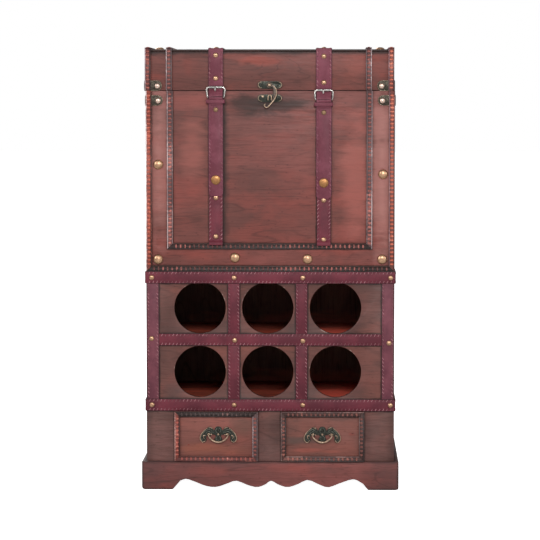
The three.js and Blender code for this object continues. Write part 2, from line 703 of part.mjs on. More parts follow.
// Lid box
const LID_BOTTOM = LID_LINE + GAP;
const LID_UNDER = LID_TOP - LID_TOP_BOARD - GAP;
const lidNails = [FRONT + LID_NAIL_MARGIN, BACK - LID_NAIL_MARGIN].flatMap((y) =>
  SIDES.map(({ sign }) => topDome(
    sign * (HALF_WIDTH - LID_NAIL_INSET), y, LID_TOP, BIG_NAIL_DIAMETER, BIG_NAIL_HEIGHT)));
add('lid_top', onLid(join([
  block(-HALF_WIDTH, HALF_WIDTH, FRONT, BACK, LID_TOP - LID_TOP_BOARD, LID_TOP),
  ...lidNails,
])), WOOD);
add('lid_front', onLid(slab(-HALF_WIDTH, HALF_WIDTH, LID_BOTTOM, LID_UNDER, -BOARD, 0)), WOOD);
add('lid_back', onLid(block(
  -INSIDE + GAP, INSIDE - GAP, BACK - BOARD, BACK, LID_BOTTOM, LID_UNDER)), WOOD);
for (const { tag, sign } of SIDES) {
  const x0 = sign > 0 ? INSIDE : -HALF_WIDTH;
  add(`lid_side_${tag}`,
    onLid(block(x0, x0 + BOARD, BOARD_FRONT, BACK, LID_BOTTOM, LID_UNDER)), WOOD);
}

// Mouldings that climb the lid front and run back over its top
function lidTrim(sign, edge) {
  const outer = sign * edge;
  const inner = sign * (edge - TRIM_WIDTH);
  const x0 = Math.min(outer, inner);
  const x1 = Math.max(outer, inner);
  const crown = LID_TOP + GAP + TRIM_HEIGHT;
  const full = block(x0, x1, FRONT - GAP - TRIM_HEIGHT, BACK, LID_BOTTOM, crown);
  const core = block(x0 - GAP, x1 + GAP, FRONT - GAP, BACK + GAP, 0, LID_TOP + GAP);
  const slot = block(x0 + TRIM_RIB, x1 - TRIM_RIB, 2 * FRONT, 2 * BACK, 0, 2 * LID_TOP);
  const bed = block(
    x0 - GAP, x1 + GAP, FRONT - GAP - TRIM_BASE, 2 * BACK + GAP, -GAP, LID_TOP + GAP + TRIM_BASE);
  return full.subtract(core).subtract(slot.subtract(bed));
}
for (const { tag, sign } of SIDES) {
  add(`lid_trim_outer_${tag}`,
    onLid(lidTrim(sign, HALF_WIDTH).subtract(platePocket(LID_PLATE_HEIGHT))), MOULDING);
  add(`lid_trim_inner_${tag}`, onLid(lidTrim(sign, INNER_TRIM_EDGE)), MOULDING);
}

// Latch: a pivoted hook on the lid plate, a staple on the catch plate
function stadium(x, z) {
  const shape = new THREE.Shape();
  const radius = LATCH_PLATE_HEIGHT / 2;
  const half = LATCH_PLATE_WIDTH / 2 - radius;
  shape.absarc(x + half, z, radius, -Math.PI / 2, Math.PI / 2, false);
  shape.absarc(x - half, z, radius, Math.PI / 2, (3 * Math.PI) / 2, false);
  return shape;
}
const LATCH_FACE = GAP + LATCH_METAL;
function latchScrews(z) {
  return SIDES.map(({ sign }) => frontDome(
    LATCH_X + sign * LATCH_SCREW_X, z, LATCH_FACE, LATCH_SCREW_DIAMETER, LATCH_SCREW_HEIGHT));
}
const STAPLE_FACE = LATCH_FACE + 2 * STAPLE_WIRE;
const HOOK_NEAR = STAPLE_FACE + GAP;
const HOOK_FAR = HOOK_NEAR + LATCH_METAL;
add('latch_plate', join([
  cutout(stadium(LATCH_X, LATCH_UPPER), GAP, LATCH_FACE),
  disc(PIVOT_X, PIVOT_HEIGHT, PIVOT_BOSS, LATCH_FACE - SINK, HOOK_NEAR - GAP),
  disc(PIVOT_X, PIVOT_HEIGHT, PIVOT_PIN, LATCH_FACE, HOOK_FAR + GAP + SINK),
  disc(PIVOT_X, PIVOT_HEIGHT, PIVOT_HEAD, HOOK_FAR + GAP, HOOK_FAR + GAP + PIVOT_HEAD_HEIGHT),
  ...latchScrews(LATCH_UPPER),
]), BRONZE);

const stapleDepth = FRONT - LATCH_FACE - STAPLE_WIRE + GAP / 2;
const stapleRise = STAPLE_BASE + STAPLE_RADIUS * 2;
add('latch_catch', join([
  cutout(stadium(LATCH_X, LATCH_LOWER), GAP, LATCH_FACE),
  wire([
    [STAPLE_X - STAPLE_RADIUS, stapleDepth, STAPLE_BASE],
    [STAPLE_X - STAPLE_RADIUS, stapleDepth, stapleRise],
    [STAPLE_X, stapleDepth, stapleRise + STAPLE_RADIUS],
    [STAPLE_X + STAPLE_RADIUS, stapleDepth, stapleRise],
    [STAPLE_X + STAPLE_RADIUS, stapleDepth, STAPLE_BASE],
  ], STAPLE_WIRE, ROUND_SIDES, false, 1),
  ...latchScrews(LATCH_LOWER),
]), BRONZE);

// A flat strip that follows a line of points and narrows towards its end.
function ribbon(points, rootWidth, tipWidth, steps) {
  const line = new THREE.SplineCurve(points.map(([x, z]) => new THREE.Vector2(x, z)));
  const one = [];
  const other = [];
  for (let step = 0; step <= steps; step += 1) {
    const share = step / steps;
    const at = line.getPoint(share);
    const along = line.getTangent(share);
    const half = (rootWidth + (tipWidth - rootWidth) * share) / 2;
    one.push(new THREE.Vector2(at.x - along.y * half, at.y + along.x * half));
    other.push(new THREE.Vector2(at.x + along.y * half, at.y - along.x * half));
  }
  return new THREE.Shape([...one, ...other.reverse()]);
}
const hookLine = HOOK_SHARES.map(([x, z]) =>
  [PIVOT_X + x * HOOK_REACH, PIVOT_HEIGHT + z * HOOK_LENGTH]);
add('latch_hook', join([
  cutout(ribbon(hookLine, HOOK_ROOT_WIDTH, HOOK_TIP_WIDTH, HOOK_STEPS), HOOK_NEAR, HOOK_FAR),
  disc(PIVOT_X, PIVOT_HEIGHT, HOOK_EYE, HOOK_NEAR, HOOK_FAR),
]).subtract(disc(PIVOT_X, PIVOT_HEIGHT, PIVOT_PIN + GAP, HOOK_NEAR - GAP, HOOK_FAR + GAP)), BRONZE);

// Straps: a lid strap, a buckle, a tongue that snaps on to the strap fixed to the chest
const FOLD_RADIUS = WIRE_RADIUS + GAP + LEATHER;
const BUCKLE_FACE = GAP + FOLD_RADIUS;
const TONGUE_NEAR = LEATHER_FACE + SNAP_GAP;
const TONGUE_FACE = TONGUE_NEAR + LEATHER;
const STRAP_HALF = STRAP_WIDTH / 2;
for (const { tag, x, drop, rivets } of STRAPS) {
  const x0 = x - STRAP_HALF;
  const x1 = x + STRAP_HALF;
  const strapBack = BACK - STRAP_BACK_MARGIN;
  const crown = LID_TOP + LEATHER_FACE;
  const lidStrapEnd = LID_LINE + LEATHER / 2 + GAP;
  const lidRivets = [LID_TOP - rivets.top, LID_LINE + rivets.bottom];
  const lidRivetYs = [FRONT + STRAP_TOP_RIVET_MARGIN, BACK - STRAP_TOP_RIVET_MARGIN];
  add(`lid_strap_${tag}`, join([
    slab(x0, x1, lidStrapEnd, crown, GAP, LEATHER_FACE),
    block(x0, x1, FRONT - LEATHER_FACE, strapBack, LID_TOP + GAP, crown),
    ...lidRivets.map((z) => frontDome(x, z, LEATHER_FACE, RIVET_DIAMETER, RIVET_HEIGHT)),
    ...lidRivetYs.map((y) => topDome(x, y, crown, RIVET_DIAMETER, RIVET_HEIGHT)),
  ]), LEATHER_PAINT);

  const bodyHalf = BODY_STRAP_WIDTH / 2;
  const bodyBottom = INNER_TRIM_BOTTOM + TRIM_WIDTH + GAP;
  const tongueEnd = LID_LINE - TONGUE_LENGTH - drop;
  const bodyTop = tongueEnd + BODY_STRAP_HIDDEN;
  const snapZ = tongueEnd + SNAP_RISE;
  const bodyRivets = [tongueEnd - TIP_RIVET_DROP, bodyBottom + rivets.foot];
  add(`body_strap_${tag}`, join([
    slab(x - bodyHalf, x + bodyHalf, bodyBottom, bodyTop, GAP, LEATHER_FACE),
    disc(x, snapZ, STUD_RADIUS, LEATHER_FACE - SINK, LEATHER_FACE + STUD_HEIGHT),
    ...bodyRivets.map((z) => frontDome(x, z, LEATHER_FACE, RIVET_DIAMETER, RIVET_HEIGHT)),
  ]), LEATHER_PAINT);

  const barTop = LID_LINE + BUCKLE_RISE - drop - WIRE_RADIUS;
  const barBottom = barTop - BUCKLE_HEIGHT + 2 * WIRE_RADIUS;
  const wireHalf = BUCKLE_WIDTH / 2 - WIRE_RADIUS;
  const wireY = FRONT - BUCKLE_FACE;
  const loop = [
    [-wireHalf + BUCKLE_CHAMFER, barTop],
    [wireHalf - BUCKLE_CHAMFER, barTop],
    [wireHalf, barTop - BUCKLE_CHAMFER],
    [wireHalf, (barTop + barBottom) / 2],
    [wireHalf - BUCKLE_WAIST, barBottom],
    [-wireHalf + BUCKLE_WAIST, barBottom],
    [-wireHalf, (barTop + barBottom) / 2],
    [-wireHalf, barTop - BUCKLE_CHAMFER],
  ].map(([dx, z]) => [x + dx, wireY, z]);
  const prongTip = FRONT - BUCKLE_FACE - WIRE_RADIUS - PRONG_RADIUS / 2;
  const prongLine = (radius) => wire([
    [x, wireY, barBottom],
    [x, (wireY + prongTip) / 2, (barTop + barBottom) / 2],
    [x, prongTip, barTop + PRONG_OVERHANG],
  ], radius, 4, false, 0);
  add(`buckle_${tag}`, join([
    wire(loop, WIRE_RADIUS, BUCKLE_STEPS, true, BUCKLE_TENSION_SHARE),
    prongLine(PRONG_RADIUS),
  ]), NICKEL);

  const tongueRound = tongueEnd + STRAP_HALF * TONGUE_ROUND_SHARE;
  const tongue = new THREE.Shape();
  tongue.moveTo(x0, barBottom);
  tongue.lineTo(x0, tongueRound);
  tongue.quadraticCurveTo(x0, tongueEnd, x, tongueEnd);
  tongue.quadraticCurveTo(x1, tongueEnd, x1, tongueRound);
  tongue.lineTo(x1, barBottom);
  const keeperTop = LID_LINE - KEEPER_DROP - drop;
  const keeperBottom = keeperTop - KEEPER_HEIGHT;
  const tailFace = TONGUE_FACE + LEATHER;
  const tail = new THREE.Shape();
  tail.moveTo(GAP, LID_LINE);
  tail.lineTo(LEATHER_FACE, LID_LINE);
  tail.lineTo(BUCKLE_FACE + FOLD_RADIUS + LEATHER / 2, barBottom + LEATHER);
  tail.lineTo(BUCKLE_FACE + FOLD_RADIUS + LEATHER / 2, barBottom - LEATHER);
  tail.lineTo(tailFace, keeperTop);
  tail.lineTo(tailFace, keeperBottom - LEATHER);
  tail.lineTo(TONGUE_NEAR, keeperBottom - LEATHER);
  tail.lineTo(TONGUE_NEAR, keeperTop);
  tail.lineTo(BUCKLE_FACE + FOLD_RADIUS - LEATHER / 2, barBottom - LEATHER);
  tail.lineTo(BUCKLE_FACE + FOLD_RADIUS - LEATHER / 2, barBottom + LEATHER / 2);
  const tailSolid = new THREE.ExtrudeGeometry(tail, { depth: STRAP_WIDTH, bevelEnabled: false });
  tailSolid.rotateX(Math.PI / 2);
  tailSolid.rotateZ(-Math.PI / 2);
  tailSolid.translate(x1, FRONT, 0);
  const body = join([
    solid(tailSolid),
    axle(x0, x1, FRONT - STRAP_AXIS, LID_LINE, LEATHER / 2),
    axle(x0, x1, FRONT - BUCKLE_FACE, barBottom, FOLD_RADIUS),
    slab(x0, x1, LID_LINE - LAP_LENGTH - drop, barBottom, GAP, TONGUE_FACE),
    cutout(tongue, TONGUE_NEAR, TONGUE_FACE),
    slab(x - KEEPER_WIDTH / 2, x + KEEPER_WIDTH / 2, keeperBottom, keeperTop,
      GAP, tailFace + KEEPER_WALL),
    frontDome(x, LID_LINE - LAP_RIVET_DROP - drop, TONGUE_FACE, RIVET_DIAMETER, RIVET_HEIGHT),
    disc(x, snapZ, SNAP_CAP_RADIUS, TONGUE_FACE - SINK, TONGUE_FACE + SNAP_CAP_HEIGHT),
  ]);
  add(`strap_tongue_${tag}`, body
    .subtract(wire(loop, WIRE_RADIUS + GAP, BUCKLE_STEPS, true, BUCKLE_TENSION_SHARE))
    .subtract(prongLine(PRONG_RADIUS + GAP))
    .subtract(disc(x, snapZ, SOCKET_RADIUS, TONGUE_NEAR - GAP, TONGUE_NEAR + SOCKET_DEPTH)),
  LEATHER_PAINT);
}

// Hinges behind the lid line
const HINGE_Y = BACK + GAP + KNUCKLE_RADIUS;
for (const { tag, sign } of SIDES) {
  const x = sign * (HALF_WIDTH - HINGE_INSET);
  const half = HINGE_WIDTH / 2;
  const leafNear = BACK + GAP;
  const leafFar = leafNear + HINGE_METAL;
  const clear = KNUCKLE_RADIUS + GAP;
  const outerKnuckles = SIDES.map((end) => {
    const a = x + end.sign * (KNUCKLE_HALF + GAP);
    const b = x + end.sign * half;
    return [Math.min(a, b), Math.max(a, b)];
  });
  const bodyLeaf = join([
    block(x - half, x + half, leafNear, leafFar, LID_LINE - clear - HINGE_LEAF, LID_LINE - clear),
    ...outerKnuckles.map(([a, b]) => block(a, b, leafNear, leafFar, LID_LINE - clear - GAP, LID_LINE)),
    ...outerKnuckles.map(([a, b]) => axle(a, b, HINGE_Y, LID_LINE, KNUCKLE_RADIUS)),
  ]).subtract(axle(x - half - GAP, x + half + GAP, HINGE_Y, LID_LINE, HINGE_PIN + GAP));
  add(`hinge_leaf_body_${tag}`, bodyLeaf, BRASS);
  add(`hinge_leaf_lid_${tag}`, join([
    block(x - half, x + half, leafNear, leafFar, LID_LINE + clear, LID_LINE + clear + HINGE_LEAF),
    block(x - KNUCKLE_HALF, x + KNUCKLE_HALF, leafNear, leafFar, LID_LINE, LID_LINE + clear + GAP),
    axle(x - KNUCKLE_HALF, x + KNUCKLE_HALF, HINGE_Y, LID_LINE, KNUCKLE_RADIUS),
    axle(x - half, x + half, HINGE_Y, LID_LINE, HINGE_PIN),
  ]), BRASS);
}

// Drawers with framed overlay fronts, boxes, loose bottoms and drop handles
const DRAWER_FACE = GAP + DRAWER_FRONT_BOARD;
const BOX_TOP = OPENING_TOP - DRAWER_RISE;
const HANDLE_FACE = DRAWER_FACE + GAP + HANDLE_METAL;
const BAIL_AXIS = HANDLE_FACE + GAP + BAIL_WIRE;
const BAIL_HEIGHT = HANDLE_HEIGHT + BAIL_AXIS_RISE;
SIDES.forEach(({ tag }, index) => {
  const x = DRAWER_XS[index];
  const half = DRAWER_FRONT_WIDTH / 2;
  const frame = new THREE.Shape();
  const bevel = DRAWER_FRAME_BEVEL;
  const hole = new THREE.Path();
  const rim = DRAWER_FRAME_WIDTH;
  const corners = (inset) => [
    new THREE.Vector2(x - half + inset, DRAWER_FRONT_BOTTOM + inset),
    new THREE.Vector2(x + half - inset, DRAWER_FRONT_BOTTOM + inset),
    new THREE.Vector2(x + half - inset, DRAWER_FRONT_TOP - inset),
    new THREE.Vector2(x - half + inset, DRAWER_FRONT_TOP - inset),
  ];
  frame.setFromPoints(corners(bevel));
  hole.setFromPoints(corners(rim - bevel));
  frame.holes.push(hole);
  const ring = new THREE.ExtrudeGeometry(frame, {
    depth: DRAWER_FRAME_RISE,
    bevelThickness: bevel,
    bevelSize: bevel,
    bevelSegments: 1,
  });
  ring.rotateX(Math.PI / 2);
  ring.translate(0, FRONT - DRAWER_FACE + bevel, 0);
  add(`drawer_front_${tag}`, join([
    slab(x - half, x + half, DRAWER_FRONT_BOTTOM, DRAWER_FRONT_TOP, GAP, DRAWER_FACE),
    solid(ring),
  ]), WOOD);

  const x0 = x - BOX_HALF;
  const x1 = x + BOX_HALF;
  const boxBack = BACK - DRAWER_BACK_ROOM;
  const wall = DRAWER_WALL;
  const bottomZ = BOX_BOTTOM + DRAWER_BOTTOM_RAISE;
  const bottomTop = bottomZ + DRAWER_BOTTOM_BOARD;
  const grooved = wall - DRAWER_GROOVE;
  const box = block(x0, x1, FRONT, boxBack, BOX_BOTTOM, BOX_TOP)
    .subtract(block(x0 + wall, x1 - wall, FRONT + wall, boxBack - wall, 0, LID_LINE))
    .subtract(block(x0 + grooved, x1 - grooved, FRONT + grooved, boxBack - grooved,
      bottomZ - GAP, bottomTop + GAP));
  add(`drawer_box_${tag}`, box, INNER_WOOD);
  const fit = grooved + GAP;
  add(`drawer_bottom_${tag}`,
    block(x0 + fit, x1 - fit, FRONT + fit, boxBack - fit, bottomZ, bottomTop), INNER_WOOD);

  const handleX = x + HANDLE_SHIFT;
  const rightHalf = HANDLE_SHARES.map(([dx, dz]) => new THREE.Vector2(
    handleX + dx * HANDLE_HALF_WIDTH, HANDLE_HEIGHT + dz * HANDLE_CROWN));
  const leftHalf = HANDLE_SHARES.slice(1).reverse().map(([dx, dz]) => new THREE.Vector2(
    handleX - dx * HANDLE_HALF_WIDTH, HANDLE_HEIGHT + dz * HANDLE_CROWN));
  const bore = axle(handleX - BAIL_SPAN, handleX + BAIL_SPAN, FRONT - BAIL_AXIS, BAIL_HEIGHT,
    BAIL_WIRE + GAP, WIRE_SIDES);
  const lugs = SIDES.map((end) => {
    const a = handleX + end.sign * POST_INNER;
    const b = handleX + end.sign * POST_OUTER;
    const near = Math.min(a, b);
    const far = Math.max(a, b);
    return axle(near, far, FRONT - BAIL_AXIS, BAIL_HEIGHT, POST_RADIUS)
      .add(slab(near, far, BAIL_HEIGHT - POST_RADIUS, BAIL_HEIGHT + POST_RADIUS,
        HANDLE_FACE - SINK, BAIL_AXIS));
  });
  add(`handle_plate_${tag}`, join([
    cutout(new THREE.Shape([...rightHalf, ...leftHalf]), DRAWER_FACE + GAP, HANDLE_FACE),
    ...lugs,
  ]).subtract(bore), BRONZE);

  const bailY = FRONT - BAIL_AXIS;
  const bendX = BAIL_SPAN * BAIL_BEND_SHARES[0];
  const bendZ = -BAIL_DROP * BAIL_BEND_SHARES[1];
  const bail = [
    [-BAIL_PIN_INNER, 0],
    [-BAIL_SPAN + BAIL_WIRE, 0],
    [-BAIL_SPAN, -BAIL_WIRE],
    [-bendX, bendZ],
    [0, -BAIL_DROP],
    [bendX, bendZ],
    [BAIL_SPAN, -BAIL_WIRE],
    [BAIL_SPAN - BAIL_WIRE, 0],
    [BAIL_PIN_INNER, 0],
  ].map(([dx, dz]) => [handleX + dx, bailY, BAIL_HEIGHT + dz]);
  add(`handle_bail_${tag}`, wire(bail, BAIL_WIRE, BAIL_STEPS * 2, false, 0.5), BRONZE);
});

// The origin sits under the middle of the whole cabinet.
const bounds = new THREE.Box3().setFromObject(group);
const centre = bounds.getCenter(new THREE.Vector3());
for (const node of group.children) node.geometry.translate(-centre.x, -centre.y, -bounds.min.z);

export default group;
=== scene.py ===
from math import cos, pi, radians, sin

import bpy
from mathutils import Matrix, Vector


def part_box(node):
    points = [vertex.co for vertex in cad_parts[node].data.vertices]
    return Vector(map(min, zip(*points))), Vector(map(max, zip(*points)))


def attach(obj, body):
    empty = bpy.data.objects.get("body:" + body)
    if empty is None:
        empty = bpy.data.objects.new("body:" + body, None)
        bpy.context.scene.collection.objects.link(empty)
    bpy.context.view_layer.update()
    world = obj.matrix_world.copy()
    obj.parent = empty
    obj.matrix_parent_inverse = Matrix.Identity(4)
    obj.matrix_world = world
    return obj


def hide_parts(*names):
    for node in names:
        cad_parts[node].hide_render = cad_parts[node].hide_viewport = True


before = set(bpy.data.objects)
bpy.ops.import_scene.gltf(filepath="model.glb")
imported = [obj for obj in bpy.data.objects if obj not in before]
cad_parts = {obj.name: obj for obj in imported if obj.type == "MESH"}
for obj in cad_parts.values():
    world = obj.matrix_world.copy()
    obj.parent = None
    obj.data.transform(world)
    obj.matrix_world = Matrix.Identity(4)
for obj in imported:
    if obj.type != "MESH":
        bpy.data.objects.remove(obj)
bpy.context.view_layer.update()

# Camera. It stands well back, a little right of the middle and near the height of the lid, so
# that the floors of the bottle cells and the right flank of the skirt just show.
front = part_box("bottle_panel")[0][1]
aim = Vector((-0.0004, front, 0.3976))
stand_off, aside, eye_height = 4.5, 0.113, 0.70
seen_width = 0.9718
bpy.ops.object.camera_add(location=(aside, front - stand_off, eye_height))
camera = bpy.context.object
camera.name = "studio_camera"
camera.rotation_euler = (aim - camera.location).to_track_quat("-Z", "Y").to_euler()
camera.data.lens = camera.data.sensor_width * (aim - camera.location).length / seen_width
camera.data.clip_end = 100
bpy.context.scene.camera = camera


# Studio. A white sweep that glows to the camera alone, under a white sky; a broad lamp high in
# front lights the floors of the bottle cells, two tall ones stand left and right of the camera,
# and one behind lights the back.
def feed(tree, node, feeds):
    """Gives a shader node's inputs their values, or the sockets of other nodes."""
    for key, value in feeds.items():
        if isinstance(value, bpy.types.NodeSocket):
            tree.links.new(value, node.inputs[key])
        else:
            node.inputs[key].default_value = value
    return node


def add(tree, kind, feeds=None, **settings):
    """Adds a shader node with its settings and what it is fed."""
    made = tree.nodes.new("ShaderNode" + kind)
    for key, value in settings.items():
        setattr(made, key, value)
    return feed(tree, made, feeds or {})


def new_skin(name):
    """A plain new material, with its tree and its shader."""
    skin = bpy.data.materials.new(name)
    skin.use_nodes = True
    return skin, skin.node_tree, skin.node_tree.nodes["Principled BSDF"]


bpy.context.scene.view_settings.view_transform = "Standard"
bpy.ops.mesh.primitive_plane_add(size=60)
floor = bpy.context.object
floor.name = "studio_floor"
floor_skin, tree, shader = new_skin("pale_floor")
feed(tree, shader, {"Base Color": (0.82, 0.82, 0.82, 1), "Roughness": 0.9, "Specular IOR Level": 0.1,
                    "Emission Color": (1, 1, 1, 1),
                    "Emission Strength": add(tree, "LightPath").outputs["Is Camera Ray"]})
floor.data.materials.append(floor_skin)
sky = bpy.data.worlds.new("white_sky")
sky.use_nodes = True
bpy.context.scene.world = sky
tree = sky.node_tree
sky_light = feed(tree, tree.nodes["Background"], {"Color": (0.98, 0.99, 1, 1), "Strength": 0.34})
sky_seen = add(tree, "Background", {"Color": (1, 1, 1, 1)})
to_camera = add(tree, "LightPath").outputs["Is Camera Ray"]
sky_pick = add(tree, "MixShader", {0: to_camera, 1: sky_light.outputs[0], 2: sky_seen.outputs[0]})
feed(tree, tree.nodes["World Output"], {0: sky_pick.outputs[0]})
lit_spot = Vector((0, 0, 0.35))
for lamp_name, place, size, power in (
        ("front_lamp", (0.3, -3.4, 1.8), 0.9, 60),
        ("left_lamp", (-2.3, -2.4, 1.9), 1.4, 36),
        ("right_lamp", (2.5, -2.2, 1.4), 1.4, 18),
        ("rear_lamp", (-1.2, 2.8, 2.2), 1.6, 40)):
    bpy.ops.object.light_add(type="AREA", location=place)
    lamp = bpy.context.object
    lamp.name = lamp_name
    lamp.data.size = size
    lamp.data.energy = power
    lamp.rotation_euler = (lit_spot - lamp.location).to_track_quat("-Z", "Y").to_euler()


# Carcase boards. Side panels, back, floors, shelf and uprights are thin boards stained a dark
# red-brown, with the grain along each board, their arrises eased with sandpaper.
def tint(red, green, blue):
    """A colour given as it looks on a screen, made linear for a shader."""
    parts = [part / 255 for part in (red, green, blue)]
    return tuple(p / 12.92 if p <= 0.04045 else ((p + 0.055) / 1.055) ** 2.4 for p in parts) + (1,)


def mix(tree, share, first, second, how="MIX"):
    """Lays one colour over another and gives the socket of the result."""
    made = add(tree, "Mix", {0: share, 6: first, 7: second}, data_type="RGBA", blend_type=how)
    return made.outputs[2]


def maths(tree, how, first, second=0.0):
    """One sum on two numbers."""
    return add(tree, "Math", {0: first, 1: second}, operation=how).outputs[0]


def fade(tree, value, start, stop, low=0.0, high=1.0):
    """A smooth step from low to high as the value goes from start to stop."""
    return add(tree, "MapRange", {0: value, 1: start, 2: stop, 3: low, 4: high},
               interpolation_type="SMOOTHSTEP").outputs[0]


def vectors(tree, how, first, second):
    """One sum on two vectors."""
    return add(tree, "VectorMath", {0: first, 1: second}, operation=how).outputs[0]


def length(tree, vector):
    """How long a vector is."""
    return add(tree, "VectorMath", {0: vector}, operation="LENGTH").outputs["Value"]


def noise(tree, point, scale, detail=4.0, rough=0.55, warp=0.0):
    """Cloudy noise between 0 and 1."""
    return add(tree, "TexNoise", {"Vector": point, "Scale": scale, "Detail": detail,
                                  "Roughness": rough, "Distortion": warp}).outputs["Fac"]


def stretch(tree, point, by, shift=(0, 0, 0)):
    """The point scaled, so that what is drawn with it comes out long or fine."""
    return add(tree, "Mapping", {"Vector": point, "Location": shift, "Scale": by}).outputs[0]


def new_group(name, inputs, outputs):
    """An empty shader node group with named sockets."""
    group = bpy.data.node_groups.new(name, "ShaderNodeTree")
    for title, kind in inputs:
        group.interface.new_socket(title, in_out="INPUT", socket_type="NodeSocket" + kind)
    for title, kind in outputs:
        group.interface.new_socket(title, in_out="OUTPUT", socket_type="NodeSocket" + kind)
    return group, group.nodes.new("NodeGroupInput").outputs, group.nodes.new("NodeGroupOutput")


# Grain runs along X of the point that is fed in. Stain lies darker in the valleys of the grain.
grain, given, kept = new_group(
    "wood_grain",
    [("Point", "Vector"), ("Light", "Color"), ("Dark", "Color"), ("Patch", "Color"),
     ("Patches", "Float")],
    [("Color", "Color"), ("Roughness", "Float"), ("Height", "Float")])
cloud = noise(grain, stretch(grain, given["Point"], (2.4, 7, 7)), 1.6, 5, 0.6, 0.4)
figure = noise(grain, stretch(grain, given["Point"], (5, 52, 52)), 1.4, 5, 0.62, 1.2)
fibres = noise(grain, stretch(grain, given["Point"], (20, 420, 420)), 1.0, 3, 0.6)
growth = noise(grain, stretch(grain, given["Point"], (1.5, 10, 10), (3, 6, 2)), 1.0, 3, 0.45, 0.5)
veins = fade(grain, maths(grain, "PINGPONG", maths(grain, "MULTIPLY", growth, 17), 0.5), 0.01, 0.09,
             1.0, 0.0)
pores = noise(grain, stretch(grain, given["Point"], (45, 1300, 1300)), 1.0, 2, 0.5)
smear = noise(grain, stretch(grain, given["Point"], (3.2, 9, 9), (7, 3, 5)), 1.7, 4, 0.6, 0.6)
knots = add(grain, "TexVoronoi", {"Vector": stretch(grain, given["Point"], (4.5, 9, 9), (2, 1, 4)),
                                  "Scale": 1.0, "Randomness": 1.0}).outputs["Distance"]
tone = mix(grain, fade(grain, cloud, 0.34, 0.66), given["Dark"], given["Light"])
tone = mix(grain, maths(grain, "MULTIPLY", fade(grain, smear, 0.5, 0.68), given["Patches"]), tone,
           given["Patch"])
tone = mix(grain, fade(grain, figure, 0.46, 0.7, 0.0, 0.26), tone, given["Dark"])
mottle = noise(grain, stretch(grain, given["Point"], (26, 44, 44)), 1.0, 4, 0.65, 0.3)
tone = mix(grain, fade(grain, mottle, 0.42, 0.66, 0.0, 0.34), tone, given["Dark"])
bloom = noise(grain, stretch(grain, given["Point"], (9, 17, 17), (4, 8, 1)), 1.0, 4, 0.6, 0.5)
tone = mix(grain, fade(grain, bloom, 0.48, 0.68, 0.0, 0.4), tone, given["Patch"])
specks = add(grain, "TexVoronoi", {"Vector": stretch(grain, given["Point"], (60, 95, 95)),
                                   "Scale": 1.0, "Randomness": 1.0}).outputs["Distance"]
tone = mix(grain, fade(grain, specks, 0.06, 0.16, 0.4, 0.0), tone, tint(70, 38, 36))
tone = mix(grain, fade(grain, fibres, 0.46, 0.72, 0.0, 0.34), tone, tint(84, 46, 42))
tone = mix(grain, maths(grain, "MULTIPLY", veins, fade(grain, cloud, 0.36, 0.62, 0.42, 0.12)), tone,
           tint(66, 42, 38))
tone = mix(grain, fade(grain, pores, 0.6, 0.7, 0.0, 0.5), tone, tint(58, 36, 32))
tone = mix(grain, fade(grain, knots, 0.035, 0.075, 0.75, 0.0), tone, tint(52, 32, 28))
grain.links.new(tone, kept.inputs["Color"])
grain.links.new(fade(grain, fibres, 0.3, 0.7, 0.42, 0.56), kept.inputs["Roughness"])
relief = maths(grain, "ADD", maths(grain, "MULTIPLY", fibres, 0.7), maths(grain, "MULTIPLY", pores, 0.3))
grain.links.new(relief, kept.inputs["Height"])


def from_sides(tree, given):
    """How far a point lies inside the nearer side of the box given, along each axis."""
    above = vectors(tree, "SUBTRACT", given["Point"], given["Low"])
    below = vectors(tree, "SUBTRACT", given["High"], given["Point"])
    return add(tree, "SeparateXYZ", {0: vectors(tree, "MINIMUM", above, below)}).outputs


def ragged(tree, value, point, grain_size, amount):
    """A distance made uneven, so that a mask made of it has a ragged edge."""
    rough_edge = noise(tree, stretch(tree, point, (grain_size,) * 3), 1.0, 3)
    return maths(tree, "ADD", value,
                 maths(tree, "MULTIPLY", maths(tree, "SUBTRACT", rough_edge, 0.5), amount))


# How near a point is to the border of a board: 1 on the border, 0 further in than Reach.
box_sockets = [("Point", "Vector"), ("Low", "Vector"), ("High", "Vector"), ("Reach", "Float")]
border, given, kept = new_group("board_border", box_sockets, [("Mask", "Float")])
sides = from_sides(border, given)
least = maths(border, "MINIMUM", maths(border, "MINIMUM", sides[0], sides[1]), sides[2])
least = ragged(border, least, given["Point"], 30, given["Reach"])
border.links.new(fade(border, least, 0.0, given["Reach"], 1.0, 0.0), kept.inputs["Mask"])

# A line along the sides of a rectangle on the front: painted shade beside straps, mouldings,
# leather strips, drawers and seams, with some stain gathered there too.
shade_line, given, kept = new_group("rectangle_line", box_sockets, [("Mask", "Float")])
sides = from_sides(shade_line, given)
least = maths(shade_line, "ABSOLUTE", maths(shade_line, "MINIMUM", sides[0], sides[2]))
least = ragged(shade_line, least, given["Point"], 60, given["Reach"])
shade_line.links.new(fade(shade_line, least, given["Reach"], 0.0), kept.inputs["Mask"])

# A thin ring on the front, broken up, where a sawn edge has lost its stain.
worn_ring, given, kept = new_group(
    "worn_ring", [("Point", "Vector"), ("Centre", "Vector"), ("Radius", "Float")], [("Mask", "Float")])
away = vectors(worn_ring, "SUBTRACT", given["Point"], given["Centre"])
away = length(worn_ring, vectors(worn_ring, "MULTIPLY", away, (1, 0, 1)))
away = maths(worn_ring, "ABSOLUTE", maths(worn_ring, "SUBTRACT", away, given["Radius"]))
chips = noise(worn_ring, stretch(worn_ring, given["Point"], (34, 34, 34)), 1.0, 5, 0.7)
ring = maths(worn_ring, "MULTIPLY", fade(worn_ring, away, 0.0004, 0.0018, 1.0, 0.0),
             fade(worn_ring, chips, 0.6, 0.66))
worn_ring.links.new(ring, kept.inputs["Mask"])
